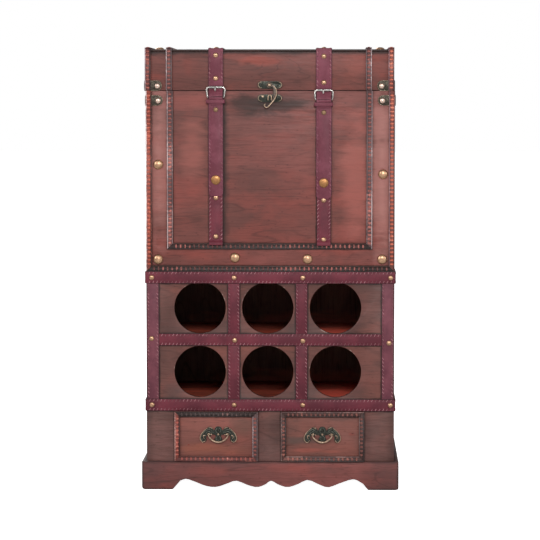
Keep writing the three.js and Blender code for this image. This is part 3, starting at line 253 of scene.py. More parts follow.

# A soft, cloudy mask round one place, for smudges of dark stain and for painted sheen, glow and
# shadow.
soft_spot, given, kept = new_group(
    "stain_and_light_spot", [("Point", "Vector"), ("Centre", "Vector"), ("Spread", "Vector")],
    [("Mask", "Float")])
away = vectors(soft_spot, "SUBTRACT", given["Point"], given["Centre"])
away = length(soft_spot, vectors(soft_spot, "DIVIDE", away, given["Spread"]))
cloudy = noise(soft_spot, stretch(soft_spot, given["Point"], (14, 14, 42)), 1.0, 5, 0.6, 0.5)
away = maths(soft_spot, "ADD", away, maths(soft_spot, "MULTIPLY", maths(soft_spot, "SUBTRACT", cloudy, 0.5), 1.7))
soft_spot.links.new(fade(soft_spot, away, 0.25, 1.05, 1.0, 0.0), kept.inputs["Mask"])


def stained(name, light, dark, patch, patches=0.5, grain_along="X", shift=(0, 0, 0), rim=None,
            rim_reach=0.012, rim_share=0.5, lines=(), stain_and_light_spots=(), rings=(), cut_face=None, rough=0.0):
    """Stained wood: grain, then a dark rim inside the box given, lines of painted shade along
    rectangles, soft spots of stain and of painted light and shade, and worn rings, each laid over the last."""
    skin, tree, shader = new_skin(name)
    point = add(tree, "TexCoord").outputs["Object"]
    turn = {"X": (0, 0, 0), "Y": (0, 0, pi / 2), "Z": (0, pi / 2, 0)}[grain_along]
    laid = add(tree, "Mapping", {"Vector": point, "Location": shift, "Rotation": turn}).outputs[0]
    wood = add(tree, "Group", {"Point": laid, "Light": light, "Dark": dark, "Patch": patch,
                               "Patches": patches}, node_tree=grain)
    layers = []
    if rim:
        layers.append((border, {"Low": rim[0], "High": rim[1], "Reach": rim_reach}, rim_share,
                       tint(44, 30, 28)))
    # Lines of painted shade, with some gathered stain.
    layers += [(shade_line, {"Low": low, "High": high, "Reach": reach}, share, tint(40, 28, 26))
               for low, high, reach, share in lines]
    layers += [(soft_spot, {"Centre": centre, "Spread": spread}, share, *(shade or [tint(46, 36, 34)]))
               for centre, spread, share, *shade in stain_and_light_spots]
    layers += [(worn_ring, {"Centre": centre, "Radius": radius}, 0.85, tint(172, 144, 134))
               for centre, radius in rings]
    colour = wood.outputs["Color"]
    for group, values, share, shade in layers:
        mask = add(tree, "Group", {"Point": point, **values}, node_tree=group).outputs["Mask"]
        colour = mix(tree, maths(tree, "MULTIPLY", mask, share), colour, shade)
    if cut_face is not None:
        depth = add(tree, "SeparateXYZ", {0: point}).outputs[1]
        colour = mix(tree, fade(tree, depth, cut_face, cut_face + 0.0007), colour, tint(48, 32, 28))
    bump = add(tree, "Bump", {"Height": wood.outputs["Height"], "Strength": 0.22, "Distance": 0.0006})
    feed(tree, shader, {"Base Color": colour, "Specular IOR Level": 0.22, "Normal": bump.outputs[0],
                        "Roughness": maths(tree, "ADD", wood.outputs["Roughness"], rough)})
    return skin


def clear():
    """Leaves edit mode and lets go of everything."""
    if bpy.context.object and bpy.context.object.mode != "OBJECT":
        bpy.ops.object.mode_set(mode="OBJECT")
    bpy.ops.object.select_all(action="DESELECT")


def choose(piece):
    """Selects one piece alone."""
    clear()
    piece.select_set(True)
    bpy.context.view_layer.objects.active = piece


def soften(piece, width, steps=2, angle=35):
    """Rounds the sharp edges of a piece and shades it smooth between them."""
    choose(piece)
    rounding = piece.modifiers.new("rounding", "BEVEL")
    rounding.width = width
    rounding.segments = steps
    rounding.limit_method = "ANGLE"
    rounding.angle_limit = radians(angle)
    bpy.ops.object.modifier_apply(modifier=rounding.name)
    bpy.ops.object.shade_smooth_by_angle(angle=radians(40))


def eased(node, width=0.0008):
    """A copy of a board of the frame with its arrises eased."""
    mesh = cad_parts[node].data.copy()
    piece = bpy.data.objects.new(node + "_board", mesh)
    bpy.context.scene.collection.objects.link(piece)
    choose(piece)
    bpy.ops.object.mode_set(mode="EDIT")
    bpy.ops.mesh.select_all(action="SELECT")
    bpy.ops.mesh.remove_doubles(threshold=0.00002)
    bpy.ops.mesh.dissolve_limited(angle_limit=radians(1))
    bpy.ops.object.mode_set(mode="OBJECT")
    soften(piece, width)
    return piece


def fit(piece, body, slot, skin, *nodes):
    """Finishes a piece: its skin, the body it moves with and the nodes it stands for."""
    piece.data.materials.clear()
    piece.data.materials.append(skin)
    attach(piece, body)
    if nodes:
        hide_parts(*nodes)


inner_tones = (tint(196, 96, 72), tint(134, 64, 50), tint(204, 86, 62))
dark_tones = (tint(150, 118, 104), tint(120, 96, 84), tint(150, 112, 96))

# Painted light: a red glow is painted on the cells' floors and on the foot of the back behind
# them, where the light through the holes falls, brightest on the right.
lit_floors, lit_back = [], []
back_low, back_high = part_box("back_panel")
skin_deep = 0.4 * (back_high[1] - back_low[1])
for height in (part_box("rack_floor")[1][2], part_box("bottle_shelf")[1][2]):
    lit_floors.append(((0.13, -0.08, height), (0.14, 0.2, 0.1), 0.9, tint(228, 102, 84)))
    lit_floors.append(((0.06, 0.12, height), (0.3, 0.1, 0.1), 0.7, tint(206, 106, 88)))
    lit_back.append(((0.05, back_low[1], height), (0.24, skin_deep, 0.026), 0.7, tint(206, 128, 112)))
glow = {"rack_floor": lit_floors, "bottle_shelf": lit_floors, "back_panel": lit_back}
for node, along in (("chest_floor", "X"), ("bottle_shelf", "X"), ("rack_floor", "X"),
                    ("cabinet_floor", "X"), ("bottle_divider_left", "Y"),
                    ("bottle_divider_right", "Y"), ("back_panel", "Z")):
    tones = dark_tones if "panel" in node or "divider" in node else inner_tones
    skin = stained(node + "_stain", *tones, patches=0.4, grain_along=along,
                   shift=(len(node), 0.3, 0.1), rough=0.15, stain_and_light_spots=glow.get(node, ()))
    fit(eased(node, 0.0004), "cabinet", "inner_wood", skin, node)
for side in ("left", "right"):
    node = "side_panel_" + side
    skin = stained(node + "_stain", tint(126, 80, 74), tint(92, 60, 56), tint(136, 70, 62), 0.5, "Z",
                   (0.7, 0.2, 0.4), rim=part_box(node), rim_reach=0.02, rim_share=0.35)
    fit(eased(node), "cabinet", "stained_wood", skin, node)


# Chest front. One wide board with brass dome nails driven along its margin; black stain has crept in
# under the latch, and painted shadows run beside the straps.
def settle():
    """Works the place, turn and size of the chosen piece into its mesh."""
    bpy.ops.object.transform_apply(location=True, rotation=True, scale=True)


def block(name, low, high, width=0.0008, steps=2):
    """A board between two corners, with its edges rounded."""
    clear()
    bpy.ops.mesh.primitive_cube_add(
        size=1, location=[(a + b) / 2 for a, b in zip(low, high)],
        scale=[b - a for a, b in zip(low, high)])
    piece = bpy.context.object
    piece.name = name
    settle()
    if width:
        soften(piece, width, steps)
    return piece


def join(name, pieces):
    """Makes one piece of several."""
    choose(pieces[0])
    for piece in pieces:
        piece.select_set(True)
    bpy.ops.object.join()
    whole = bpy.context.object
    whole.name = name
    return whole


def copies(name, pattern, places, drop=True):
    """Sets a copy of the pattern at each place, all in one piece, and removes the pattern."""
    made = []
    for place in places:
        choose(pattern)
        bpy.ops.object.duplicate()
        copy = bpy.context.object
        copy.matrix_world = place if isinstance(place, Matrix) else Matrix.Translation(place)
        settle()
        made.append(copy)
    if drop:
        bpy.data.objects.remove(pattern)
    return join(name, made)


def dome(name, radius, height, rim=0.0003):
    """A brass nail's head, facing the front, with its thin turned rim."""
    clear()
    bpy.ops.mesh.primitive_uv_sphere_add(segments=20, ring_count=12, radius=1)
    head = bpy.context.object
    head.name = name
    bpy.ops.object.mode_set(mode="EDIT")
    bpy.ops.mesh.select_all(action="SELECT")
    bpy.ops.transform.rotate(value=pi / 2, orient_axis="X", center_override=(0, 0, 0))
    bpy.ops.transform.resize(value=(radius, height, radius), center_override=(0, 0, 0))
    bpy.ops.mesh.bisect(plane_co=(0, 0, 0), plane_no=(0, 1, 0), clear_outer=True)
    bpy.ops.mesh.select_all(action="DESELECT")
    bpy.ops.object.mode_set(mode="OBJECT")
    for corner in head.data.vertices:
        corner.select = abs(corner.co.y) < 1e-6
    bpy.ops.object.mode_set(mode="EDIT")
    bpy.ops.mesh.extrude_region_move(TRANSFORM_OT_translate={"value": (0, rim, 0)})
    bpy.ops.mesh.edge_face_add()
    bpy.ops.object.mode_set(mode="OBJECT")
    choose(head)
    bpy.ops.object.shade_smooth_by_angle(angle=radians(50))
    return head


def metal(name, colour, dark, rough, tarnish=0.5, scale=260.0):
    """Metal with cloudy tarnish and a finely pitted surface."""
    skin, tree, shader = new_skin(name)
    point = add(tree, "TexCoord").outputs["Object"]
    spots = noise(tree, point, scale, 5, 0.65)
    fine = noise(tree, point, scale * 4, 3, 0.6)
    base = mix(tree, fade(tree, spots, 0.42, 0.66, 0.0, tarnish), colour, dark)
    bump = add(tree, "Bump", {"Height": fine, "Strength": 0.12, "Distance": 0.0003})
    feed(tree, shader, {"Base Color": base, "Metallic": 1, "Normal": bump.outputs[0],
                        "Roughness": fade(tree, spots, 0.35, 0.7, rough, rough + 0.2)})
    return skin


def blot(x, z, reach, rise, share, *shade, deep=0.05):
    """A soft patch on the front, for stain and for painted light and shade: its place, its half width and
    half height, and how strong it is.
    """
    return (x, front, z), (reach, deep, rise), share, *shade


brass = metal("aged_brass", tint(196, 156, 124), tint(104, 74, 54), 0.3, 0.5)
panel_low, panel_high = [Vector(corner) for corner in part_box("chest_front_panel")]
panel_low.y = front
front_thick = 0.009
panel_high.y = front + front_thick
lid_seam = round(panel_high.z, 4)
strap_x = {side: sum(corner[0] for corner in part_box("body_strap_" + side)) / 2
           for side in ("left", "right")}

# Its marks: a painted sheen on the margins, redder patches of stain beside the straps, black stain
# under the latch. Each has its place, half width, half height, strength and tone.
# Pale tone of the painted sheen on the margins.
pale = tint(164, 112, 105)
smoke = tint(46, 30, 26)
chest_stain_and_light = [blot(-0.207, 0.6, 0.015, 0.2, 0.4, pale),
                 blot(-0.194, 0.6, 0.015, 0.2, 0.45, pale),
                 blot(0.207, 0.58, 0.015, 0.22, 0.6, pale),
                 blot(0.194, 0.58, 0.015, 0.22, 0.6, pale),
                 blot(0.155, 0.56, 0.034, 0.15, 0.45, tint(170, 98, 88)),
                 blot(-0.14, 0.61, 0.032, 0.07, 0.35, tint(166, 98, 88)),
                 blot(-0.14, 0.7, 0.06, 0.02, 0.2, tint(160, 84, 76)),
                 blot(0.0, 0.6, 0.1, 0.16, 0.16),
                 blot(-0.034, 0.6925, 0.062, 0.026, 0.85, smoke),
                 blot(0.012, 0.692, 0.06, 0.023, 0.8, smoke),
                 blot(0.046, 0.6975, 0.038, 0.012, 0.6, smoke)]

# Dark lines along the straps, the mouldings and the lid seam: painted shadows beside the straps,
# painted shade with some gathered stain beside the mouldings, and painted shade in the seam. The
# right inner moulding sits trim_creep further in than its groove.
outer_low, outer_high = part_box("chest_outer_trim")
inner_low, inner_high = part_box("chest_inner_trim")
trim_creep = 0.0022
inner_high = (inner_high[0] - trim_creep, *inner_high[1:])
trim_wide = 0.0104
beside = 0.0024
strap_half = 0.013
under_trim = inner_low[2] + trim_wide / 2
chest_shade_lines = []
# Each strap has a broad painted shadow on one side and a fainter line on the other.
for side, turn, reach, share in (("left", 1, 0.0075, 0.8), ("left", -1, 0.003, 0.5),
                                 ("right", -1, 0.0042, 0.95), ("right", 1, 0.003, 0.4)):
    edge = strap_x[side] + turn * strap_half
    far = inner_high[0] - trim_wide / 2 if turn > 0 else inner_low[0] + trim_wide / 2
    chest_shade_lines.append(((min(edge, far), -1, under_trim), (max(edge, far), 1, 1), reach, share))
    # Soft patches of painted shadow down the right side of the left strap.
    if side == "left" and turn > 0:
        for height in (0.66, 0.59, 0.52, 0.47):
            chest_stain_and_light.append(blot(edge + 0.004, height, 0.009, 0.05, 0.4))
# Lines beside the mouldings: part gathered stain, part painted shade.
for (low, high), inward in (((outer_low, outer_high), trim_wide), ((inner_low, inner_high), 0.0),
                            ((inner_low, inner_high), trim_wide)):
    chest_shade_lines.append(((low[0] + inward, -1, low[2] + inward), (high[0] - inward, 1, 1), beside, 0.6))
# Painted shade along the seam under the lid.
chest_shade_lines.append(((-1, -1, -1), (1, 1, lid_seam), 0.0011, 1.0))
chest_skin = stained(
    "chest_front_stain", tint(127, 72, 66), tint(95, 58, 53), tint(137, 67, 59), 0.5, "X",
    (0.11, 0.4, 0.2), lines=chest_shade_lines, stain_and_light_spots=chest_stain_and_light)
fit(block("chest_front_board", panel_low, panel_high), "cabinet", "stained_wood", chest_skin,
    "chest_front_panel")

# The nails, set by eye and so not quite in line.
nail_size = (0.009, 0.0046)
chest_nails = [(-0.2013, 0.5872), (-0.202, 0.4166), (-0.0634, 0.4196), (0.0673, 0.4174),
               (0.2011, 0.4172), (0.2025, 0.5698)]
nails = copies("chest_nails", dome("nail_head", *nail_size),
               [(x, front, z) for x, z in chest_nails])
fit(nails, "cabinet", "brass", brass)

# Bottle panel. A duller, greyer board with six round holes for the bottles; the saw left a
# thin bright edge round each hole.
rack_low, rack_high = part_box("bottle_panel")
post_half = (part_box("corner_post_left")[1][0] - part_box("corner_post_left")[0][0]) / 2
lattice_low, lattice_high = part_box("strap_lattice")
band_middle = round((rack_low[2] + rack_high[2]) / 2 + 0.0032, 4)
column = 0.122
off_centre = -0.0045
row_lift = 0.0013
hole_xs = [off_centre + step * column for step in (-1, 0, 1)]
hole_zs = [(band_middle + rack_high[2]) / 2 + row_lift, (band_middle + rack_low[2]) / 2 + row_lift]
holes = [(x, z) for x in hole_xs for z in hole_zs]
hole_radius = (rack_high[2] - band_middle) / 2 - post_half + 0.0011

# The six bays between the leather strips, with a dark line along their sides: painted shade
# beside the leather, with some gathered stain.
bays = []
for left, right in ((lattice_low[0], hole_xs[0] + column / 2 - post_half),
                    (hole_xs[0] + column / 2 + post_half, hole_xs[1] + column / 2 - post_half),
                    (hole_xs[1] + column / 2 + post_half, lattice_high[0])):
    for bottom, top in ((lattice_low[2], band_middle - post_half),
                        (band_middle + post_half, lattice_high[2])):
        bays.append(((left, -1, bottom), (right, 1, top), 0.0034, 0.85))
rack_smudges = [blot(x + 0.03, z - 0.035, 0.05, 0.03, 0.4) for x, z in holes]
rack_smudges += [blot(x - 0.05, z - 0.04, 0.03, 0.03, 0.35, tint(66, 54, 52)) for x, z in holes]
rack_skin = stained(
    "bottle_panel_stain", tint(117, 73, 66), tint(86, 58, 53), tint(124, 70, 61), 0.4, "X",
    (0.5, 0.1, 0.7), rim=((rack_low[0], -1, rack_low[2]), (rack_high[0], 1, rack_high[2])),
    rim_reach=0.02, rim_share=0.45, stain_and_light_spots=rack_smudges, lines=bays, cut_face=front + 0.0002,
    rings=[((x, front, z), hole_radius) for x, z in holes])
fit(eased("bottle_panel", 0.0005), "cabinet", "stained_panel", rack_skin, "bottle_panel")

# Drawer rail. The bottom board of the front, stained like the rest, with two openings cut out for
# the drawers. Painted shade lies in dark lines under the leather band and round the drawers.
rail_low, rail_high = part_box("drawer_face_panel")
rail_shade_lines = [((-1, -1, -1), (1, 1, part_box("band_lower")[0][2]), 0.004, 0.9)]
for side in ("left", "right"):
    low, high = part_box("drawer_front_" + side)
    rail_shade_lines.append(((low[0], -1, low[2]), (high[0], 1, high[2]), 0.004, 0.7))
rail_skin = stained(
    "drawer_rail_stain", tint(120, 84, 79), tint(88, 62, 57), tint(120, 76, 69), 0.4, "X",
    (0.9, 0.5, 0.3), rim=((rail_low[0], -1, rail_low[2]), (rail_high[0], 1, rail_high[2])),
    rim_reach=0.018, rim_share=0.4, stain_and_light_spots=[blot(0, 0.09, 0.02, 0.05, 0.2)],
    lines=rail_shade_lines)
fit(eased("drawer_face_panel"), "cabinet", "stained_panel", rail_skin, "drawer_face_panel")

# Skirt. Three boards glued round the foot like a plinth, the side ones butted behind the front
# one. The front one is sawn in scallops between its feet, and all are stained dark along their
# edges.
skirt_low, skirt_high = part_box("skirt_front")
skirt_smudges = [blot(*spot, deep=0.06) for spot in (
    (skirt_low[0] + 0.014, 0.025, 0.045, 0.07, 0.35, tint(70, 50, 50)),
    (skirt_high[0] - 0.012, 0.02, 0.06, 0.06, 0.4, tint(72, 54, 52)),
    (-0.11, 0.034, 0.05, 0.016, 0.2, tint(160, 76, 66)),
    (0.03, 0.04, 0.05, 0.012, 0.25, tint(156, 72, 62)),
    (0.1, 0.036, 0.04, 0.012, 0.3, tint(84, 60, 56)))]
for node, along in (("skirt_front", "X"), ("skirt_left", "Y"), ("skirt_right", "Y")):
    skin = stained(node + "_stain", tint(135, 78, 73), tint(104, 63, 60), tint(143, 71, 64), 0.45,
                   along, (0.3, 0.8, 0.15), stain_and_light_spots=skirt_smudges, rim_reach=0.006, rim_share=0.75,
                   rim=((skirt_low[0], -1, 0), (skirt_high[0], 1, skirt_high[2])))
    fit(eased(node, 0.0011), "cabinet", "stained_wood", skin, node)


# Leather bands, posts and lattice. Plum leather strips, stitched along both edges with a
# slanting pale thread and nailed down with small brass rivets.
def strip(name, path, across, outward, thickness, bend=0.0, round_ends=(0.0, 0.0), edge=0.0005):
    """A strip of even width along a path, with rounded bends, eased edges and its own UV map."""
    path = [Vector(point) for point in path]
    across = Vector(across)
    clear()
    bpy.ops.mesh.primitive_plane_add(size=1)
    piece = bpy.context.object
    piece.name = name
    ends = (path[0] - across, path[0] + across, path[1] - across, path[1] + across)
    for corner, place in zip(piece.data.vertices, ends):
        corner.co = place
    bpy.ops.object.mode_set(mode="EDIT")
    bpy.ops.mesh.select_mode(type="VERT")
    bpy.ops.mesh.select_all(action="DESELECT")
    bpy.ops.object.mode_set(mode="OBJECT")
    for index in (2, 3):
        piece.data.vertices[index].select = True
    bpy.ops.object.mode_set(mode="EDIT")
    for before, after in zip(path[1:], path[2:]):
        bpy.ops.mesh.extrude_region_move(TRANSFORM_OT_translate={"value": after - before})
    bpy.ops.mesh.select_all(action="SELECT")
    bpy.ops.mesh.normals_make_consistent(inside=False)
    bpy.ops.object.mode_set(mode="OBJECT")
    if piece.data.polygons[0].normal.dot(Vector(outward)) < 0:
        bpy.ops.object.mode_set(mode="EDIT")
        bpy.ops.mesh.select_all(action="SELECT")
        bpy.ops.mesh.flip_normals()
        bpy.ops.object.mode_set(mode="OBJECT")
    for end, reach in zip((path[0], path[-1]), round_ends):
        if reach:
            for corner in piece.data.vertices:
                corner.select = (corner.co - end).length < across.length * 1.01
            bpy.ops.object.mode_set(mode="EDIT")
            bpy.ops.mesh.bevel(offset=reach, segments=7, affect="VERTICES")
            bpy.ops.mesh.select_all(action="DESELECT")
            bpy.ops.object.mode_set(mode="OBJECT")
    choose(piece)
    if bend:
        curve = piece.modifiers.new("bend", "BEVEL")
        curve.width = bend
        curve.segments = 5
        curve.limit_method = "ANGLE"
        curve.angle_limit = radians(15)
        bpy.ops.object.modifier_apply(modifier=curve.name)
    wall = piece.modifiers.new("wall", "SOLIDIFY")
    wall.thickness = thickness
    wall.offset = 1
    wall.use_even_offset = True
    bpy.ops.object.modifier_apply(modifier=wall.name)
    soften(piece, edge, 2, 50)
    runs = [0.0]
    for before, after in zip(path, path[1:]):
        runs.append(runs[-1] + (after - before).length)
    layer = piece.data.uv_layers[0] if piece.data.uv_layers else piece.data.uv_layers.new()
    layer.name = "strip"
    spots = []
    for corner in piece.data.vertices:
        best = None
        for index, (before, after) in enumerate(zip(path, path[1:])):
            along = after - before
            share = min(1.0, max(0.0, (corner.co - before).dot(along) / along.length_squared))
            off = corner.co - (before + along * share)
            side = off.dot(across) / across.length_squared
            gap = (off - across * side).length
            if best is None or gap < best[0]:
                best = (gap, runs[index] + share * along.length, side)
        spots.append(best[1:])
    for loop in piece.data.loops:
        layer.data[loop.index].uv = spots[loop.vertex_index]
    return piece


def stitches(name, rows, pitch=0.0067, size=(0.0045, 0.0013, 0.0009)):
    """Rows of slanting stitches: each row has a start, an end, the way it faces and its slant."""
    made = []
    for start, end, facing, slant in rows:
        start, end, facing = Vector(start), Vector(end), Vector(facing).normalized()
        run = end - start
        count = max(1, int(run.length / pitch))
        step = run / count
        clear()
        bpy.ops.mesh.primitive_cube_add(size=1, scale=size)
        stitch = bpy.context.object
        settle()
        soften(stitch, 0.00028, 1)
        along = run.normalized()
        turn = Matrix.Rotation(slant, 3, "Z")
        basis = Matrix((along, facing.cross(along), facing)).transposed()
        stitch.matrix_world = Matrix.Translation(start + step / 2) @ (basis @ turn).to_4x4()
        choose(stitch)
        settle()
        row = stitch.modifiers.new("row", "ARRAY")
        row.count = count
        row.use_relative_offset = False
        row.use_constant_offset = True
        row.constant_offset_displace = step
        bpy.ops.object.modifier_apply(modifier=row.name)
        made.append(stitch)
    return join(name, made)


def leather(name, colour, dark, scuff_and_sheen):
    """Leather: fine pebbled grain, a crease under the stitches, dark cut edges, pale scuffs that are also a
    painted sheen near the edges.
    """
    skin, tree, shader = new_skin(name)
    point = add(tree, "TexCoord").outputs["Object"]
    strip_uv = add(tree, "UVMap", uv_map="strip").outputs[0]
    side = maths(tree, "ABSOLUTE", add(tree, "SeparateXYZ", {0: strip_uv}).outputs[1])
    clouds = noise(tree, point, 22, 4, 0.6)
    grainy = add(tree, "TexVoronoi", {"Vector": point, "Scale": 1100.0}).outputs["Distance"]
    rubbed = noise(tree, point, 90, 5, 0.7)
    base = mix(tree, fade(tree, clouds, 0.35, 0.68), dark, colour)
    # Pale scuffs, strongest toward the edges, where they also stand for a painted sheen.
    scuff_and_sheen_mask = maths(tree, "MULTIPLY", fade(tree, rubbed, 0.56, 0.72), fade(tree, side, 0.25, 0.9, 0.1, 0.6))
    base = mix(tree, scuff_and_sheen_mask, base, scuff_and_sheen)
    base = mix(tree, fade(tree, side, 0.9, 0.98, 0.0, 0.85), base, tint(44, 24, 28))
    crease = maths(tree, "MULTIPLY", fade(tree, side, 0.6, 0.74), fade(tree, side, 0.74, 0.88, 1.0, 0.0))
    height = maths(tree, "SUBTRACT", maths(tree, "MULTIPLY", grainy, 0.25), crease)
    bump = add(tree, "Bump", {"Height": height, "Strength": 0.5, "Distance": 0.0005})
    feed(tree, shader, {"Base Color": base, "Specular IOR Level": 0.2, "Normal": bump.outputs[0],
                        "Roughness": fade(tree, rubbed, 0.3, 0.7, 0.42, 0.58)})
    return skin


# The third tone of each leather is for its scuffs and painted sheen.
plum = leather("plum_leather", tint(106, 44, 55), tint(84, 34, 44), tint(128, 72, 82))
strap_plum = leather("strap_leather", tint(121, 64, 77), tint(98, 47, 58), tint(142, 92, 104))
outer_plum = leather("post_leather", tint(117, 64, 74), tint(92, 48, 58), tint(148, 100, 108))


def linen(name, dark, light):
    """Waxed linen thread, paler where it is rubbed."""
    skin, tree, shader = new_skin(name)
    rubbed = noise(tree, add(tree, "TexCoord").outputs["Object"], 60)
    feed(tree, shader, {"Base Color": mix(tree, fade(tree, rubbed, 0.4, 0.62), dark, light),
                        "Roughness": 0.7})
    return skin


thread = linen("pale_thread", tint(100, 52, 58), tint(152, 102, 107))
faint_thread = linen("faint_thread", tint(96, 46, 56), tint(136, 82, 92))
hide = 0.002
lift = 0.0003
seam_share = 0.76
skin_face = front - lift
proud = 0.0001
stitch_face = skin_face - hide - proud
band_slant, post_slant = radians(62), radians(38)
inset = 0.002
rows = []
for node in ("band_upper", "band_lower"):
    low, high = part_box(node)
    middle = (low[2] + high[2]) / 2
    half = (high[2] - low[2]) / 2
    reach = high[0] - hide
    path = [(-reach, high[1], middle), (-reach, skin_face, middle), (reach, skin_face, middle),
            (reach, high[1], middle)]
    band = strip(node + "_leather", path, (0, 0, half), (-1, 0, 0), hide, 0.0015)
    fit(band, "cabinet", "leather", plum, node)
    for end in (-1, 1):
        z = middle + end * half * seam_share
        rows.append(((-reach + 0.003, stitch_face, z), (reach - 0.003, stitch_face, z), (0, -1, 0),
                     band_slant))
        for edge_x in (-1, 1):
            x = edge_x * (reach + hide + proud)
            rows.append(((x, skin_face + 0.004, z), (x, high[1] - inset, z), (edge_x, 0, 0),
                         band_slant))
for node in ("corner_post_left", "corner_post_right"):
    low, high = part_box(node)
    middle = (low[0] + high[0]) / 2
    half = (high[0] - low[0]) / 2
    post = strip(node + "_leather", [(middle, skin_face, low[2]), (middle, skin_face, high[2])],
                 (half, 0, 0), (0, -1, 0), hide)
    fit(post, "cabinet", "leather", outer_plum, node)
    for end in (-1, 1):
        x = middle + end * half * seam_share
        rows.append(((x, stitch_face, low[2] + inset), (x, stitch_face, high[2] - inset), (0, -1, 0),
                     post_slant))
low, high = lattice_low, lattice_high
cross_lift = 0.0008
cross_y = skin_face - cross_lift
cross = strip("middle_band_leather", [(low[0], cross_y, band_middle), (high[0], cross_y, band_middle)],
              (0, 0, post_half), (0, -1, 0), hide)
fit(cross, "cabinet", "leather", plum, "strap_lattice")
for end in (-1, 1):
    z = band_middle + end * post_half * seam_share
    rows.append(((low[0] + inset, stitch_face - cross_lift, z),
                 (high[0] - inset, stitch_face - cross_lift, z), (0, -1, 0), band_slant))
for index, x in enumerate((off_centre - column / 2, off_centre + column / 2)):
    for bottom, top in ((low[2], band_middle - post_half + 0.001),
                        (band_middle + post_half - 0.001, high[2])):
        post = strip("inner_post_leather_%d" % index, [(x, skin_face, bottom), (x, skin_face, top)],
                     (post_half, 0, 0), (0, -1, 0), hide)
        fit(post, "cabinet", "leather", plum)
        for end in (-1, 1):
            seam_x = x + end * post_half * seam_share
            rows.append(((seam_x, stitch_face, bottom + inset), (seam_x, stitch_face, top - inset),
                         (0, -1, 0), post_slant))
fit(stitches("rack_stitches", rows), "cabinet", "leather", thread)
rivet_face = skin_face - hide

# Rivets where the strips cross and along the bands, again set by eye.
rivet_size = (0.00465, 0.0026)
rivet_places = [(x, rivet_face, z) for z in (rack_high[2], rack_low[2])
                for x in (-0.2135, -0.065, 0.0588, 0.2166)]
rivet_places += [(-0.064, rivet_face - cross_lift, 0.2708), (0.059, rivet_face - cross_lift, 0.2699),
                 (-0.2138, rivet_face, 0.2736), (0.214, rivet_face, 0.2662)]
rivets = copies("rack_rivets", dome("rivet_head", *rivet_size), rivet_places)
fit(rivets, "cabinet", "brass", brass)


# Mouldings. Narrow carved strips: two thin fillets with a row of beads between them, dark
# stain in the hollows and red wood rubbed bare on the beads, mitred at the corners.
rail_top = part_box("band_lower")[1][2]
trim_tall = 0.0036


def moulding(name, start, end, facing, cuts, width=trim_wide, deep=0.0020, tall=trim_tall):
    """A strip of beaded moulding: its bed, cord, row of beads, lit fillet and dark fillet. The
    fillets are apart so that the lit one can take a painted highlight and the dark one painted shade.

    An end is cut square (0) or mitred (-1)."""
    start, end, facing = Vector(start), Vector(end), Vector(facing).normalized()
    run = end - start
    along = run.normalized()
    side = facing.cross(along)
    long = run.length
    spare = width / 2
    fillet = 0.0019
    inner = width / 2 - fillet
    bars = [block(name + "_bed", (-spare, -width / 2 + 0.0002, 0),
                  (long + spare, width / 2 - 0.0002, deep), 0.0002, 1),
            block(name + "_cord", (-spare, -inner + 0.0003, 0.0002),
                  (long + spare, inner - 0.0003, tall - 0.0006), 0.0012, 2)]
    for edge in (-1, 1):
        y0, y1 = sorted((edge * width / 2, edge * inner))
        bars.append(block(name + "_fillet", (-spare, y0, 0), (long + spare, y1, tall - 0.0004),
                          0.0007, 2))
    for bar in bars:
        choose(bar)
        bpy.ops.object.mode_set(mode="EDIT")
        for place, cut, sign in ((0.0, cuts[0], 1), (long, cuts[1], -1)):
            bpy.ops.mesh.select_all(action="SELECT")
            bpy.ops.mesh.bisect(plane_co=(place, 0, 0), plane_no=(sign, cut, 0), use_fill=True,
                                clear_inner=True)
        bpy.ops.object.mode_set(mode="OBJECT")
    level = abs(along.z) < 0.5
    pitch = 0.0082 if level else 0.0072
    bead_half = 0.0016
    count = int((long - 0.006 - width * (abs(cuts[0]) + abs(cuts[1])) * 0.5) / pitch) + 1
    first = (long - (count - 1) * pitch) / 2
    beads = block(name + "_beads", (first - bead_half, -inner + 0.0001, deep - 0.0002),
                  (first + bead_half, inner - 0.0001, tall + 0.0004), 0.0011, 1)
    row = beads.modifiers.new("row", "ARRAY")
    row.count = count
    row.use_relative_offset = False
    row.use_constant_offset = True
    row.constant_offset_displace = (pitch, 0, 0)
    choose(beads)
    bpy.ops.object.modifier_apply(modifier=row.name)
    basis = Matrix((along, side, facing)).transposed().to_4x4()
    for part in (*bars, beads):
        part.matrix_world = Matrix.Translation(start) @ basis
        choose(part)
        settle()
    # The fillet towards the light, on the left or on top, is the lit one; its tones and the dark one's
    # paint light and shade on the moulding.
    lit = side.z + side.x * (start.x if start.z > rail_top else -1)
    return bars[0], bars[1], beads, bars[3 if lit > 0 else 2], bars[2 if lit > 0 else 3]


def fit_moulding(pieces, body, kind, *nodes):
    """Gives the pieces of a moulding their stains."""
    for piece, skin in zip(pieces, trim_stains[kind]):
        fit(piece, body, "moulding", skin, *nodes)
        nodes = ()


def worn_stain(name, colour, rubbed, amount):
    """Stain with the wood rubbed bare in places."""
    skin, tree, shader = new_skin(name)
    point = add(tree, "TexCoord").outputs["Object"]
    broad = noise(tree, point, 16, 4, 0.6)
    fine = noise(tree, point, 240, 4, 0.65)
    bare = maths(tree, "ADD", maths(tree, "MULTIPLY", broad, 0.6), maths(tree, "MULTIPLY", fine, 0.4))
    base = mix(tree, fade(tree, bare, 0.62 - amount * 0.24, 0.70 - amount * 0.24), colour, rubbed)
    bump = add(tree, "Bump", {"Height": fine, "Strength": 0.25, "Distance": 0.0004})
    feed(tree, shader, {"Base Color": base, "Normal": bump.outputs[0],
                        "Roughness": fade(tree, fine, 0.3, 0.7, 0.4, 0.6)})
    return skin
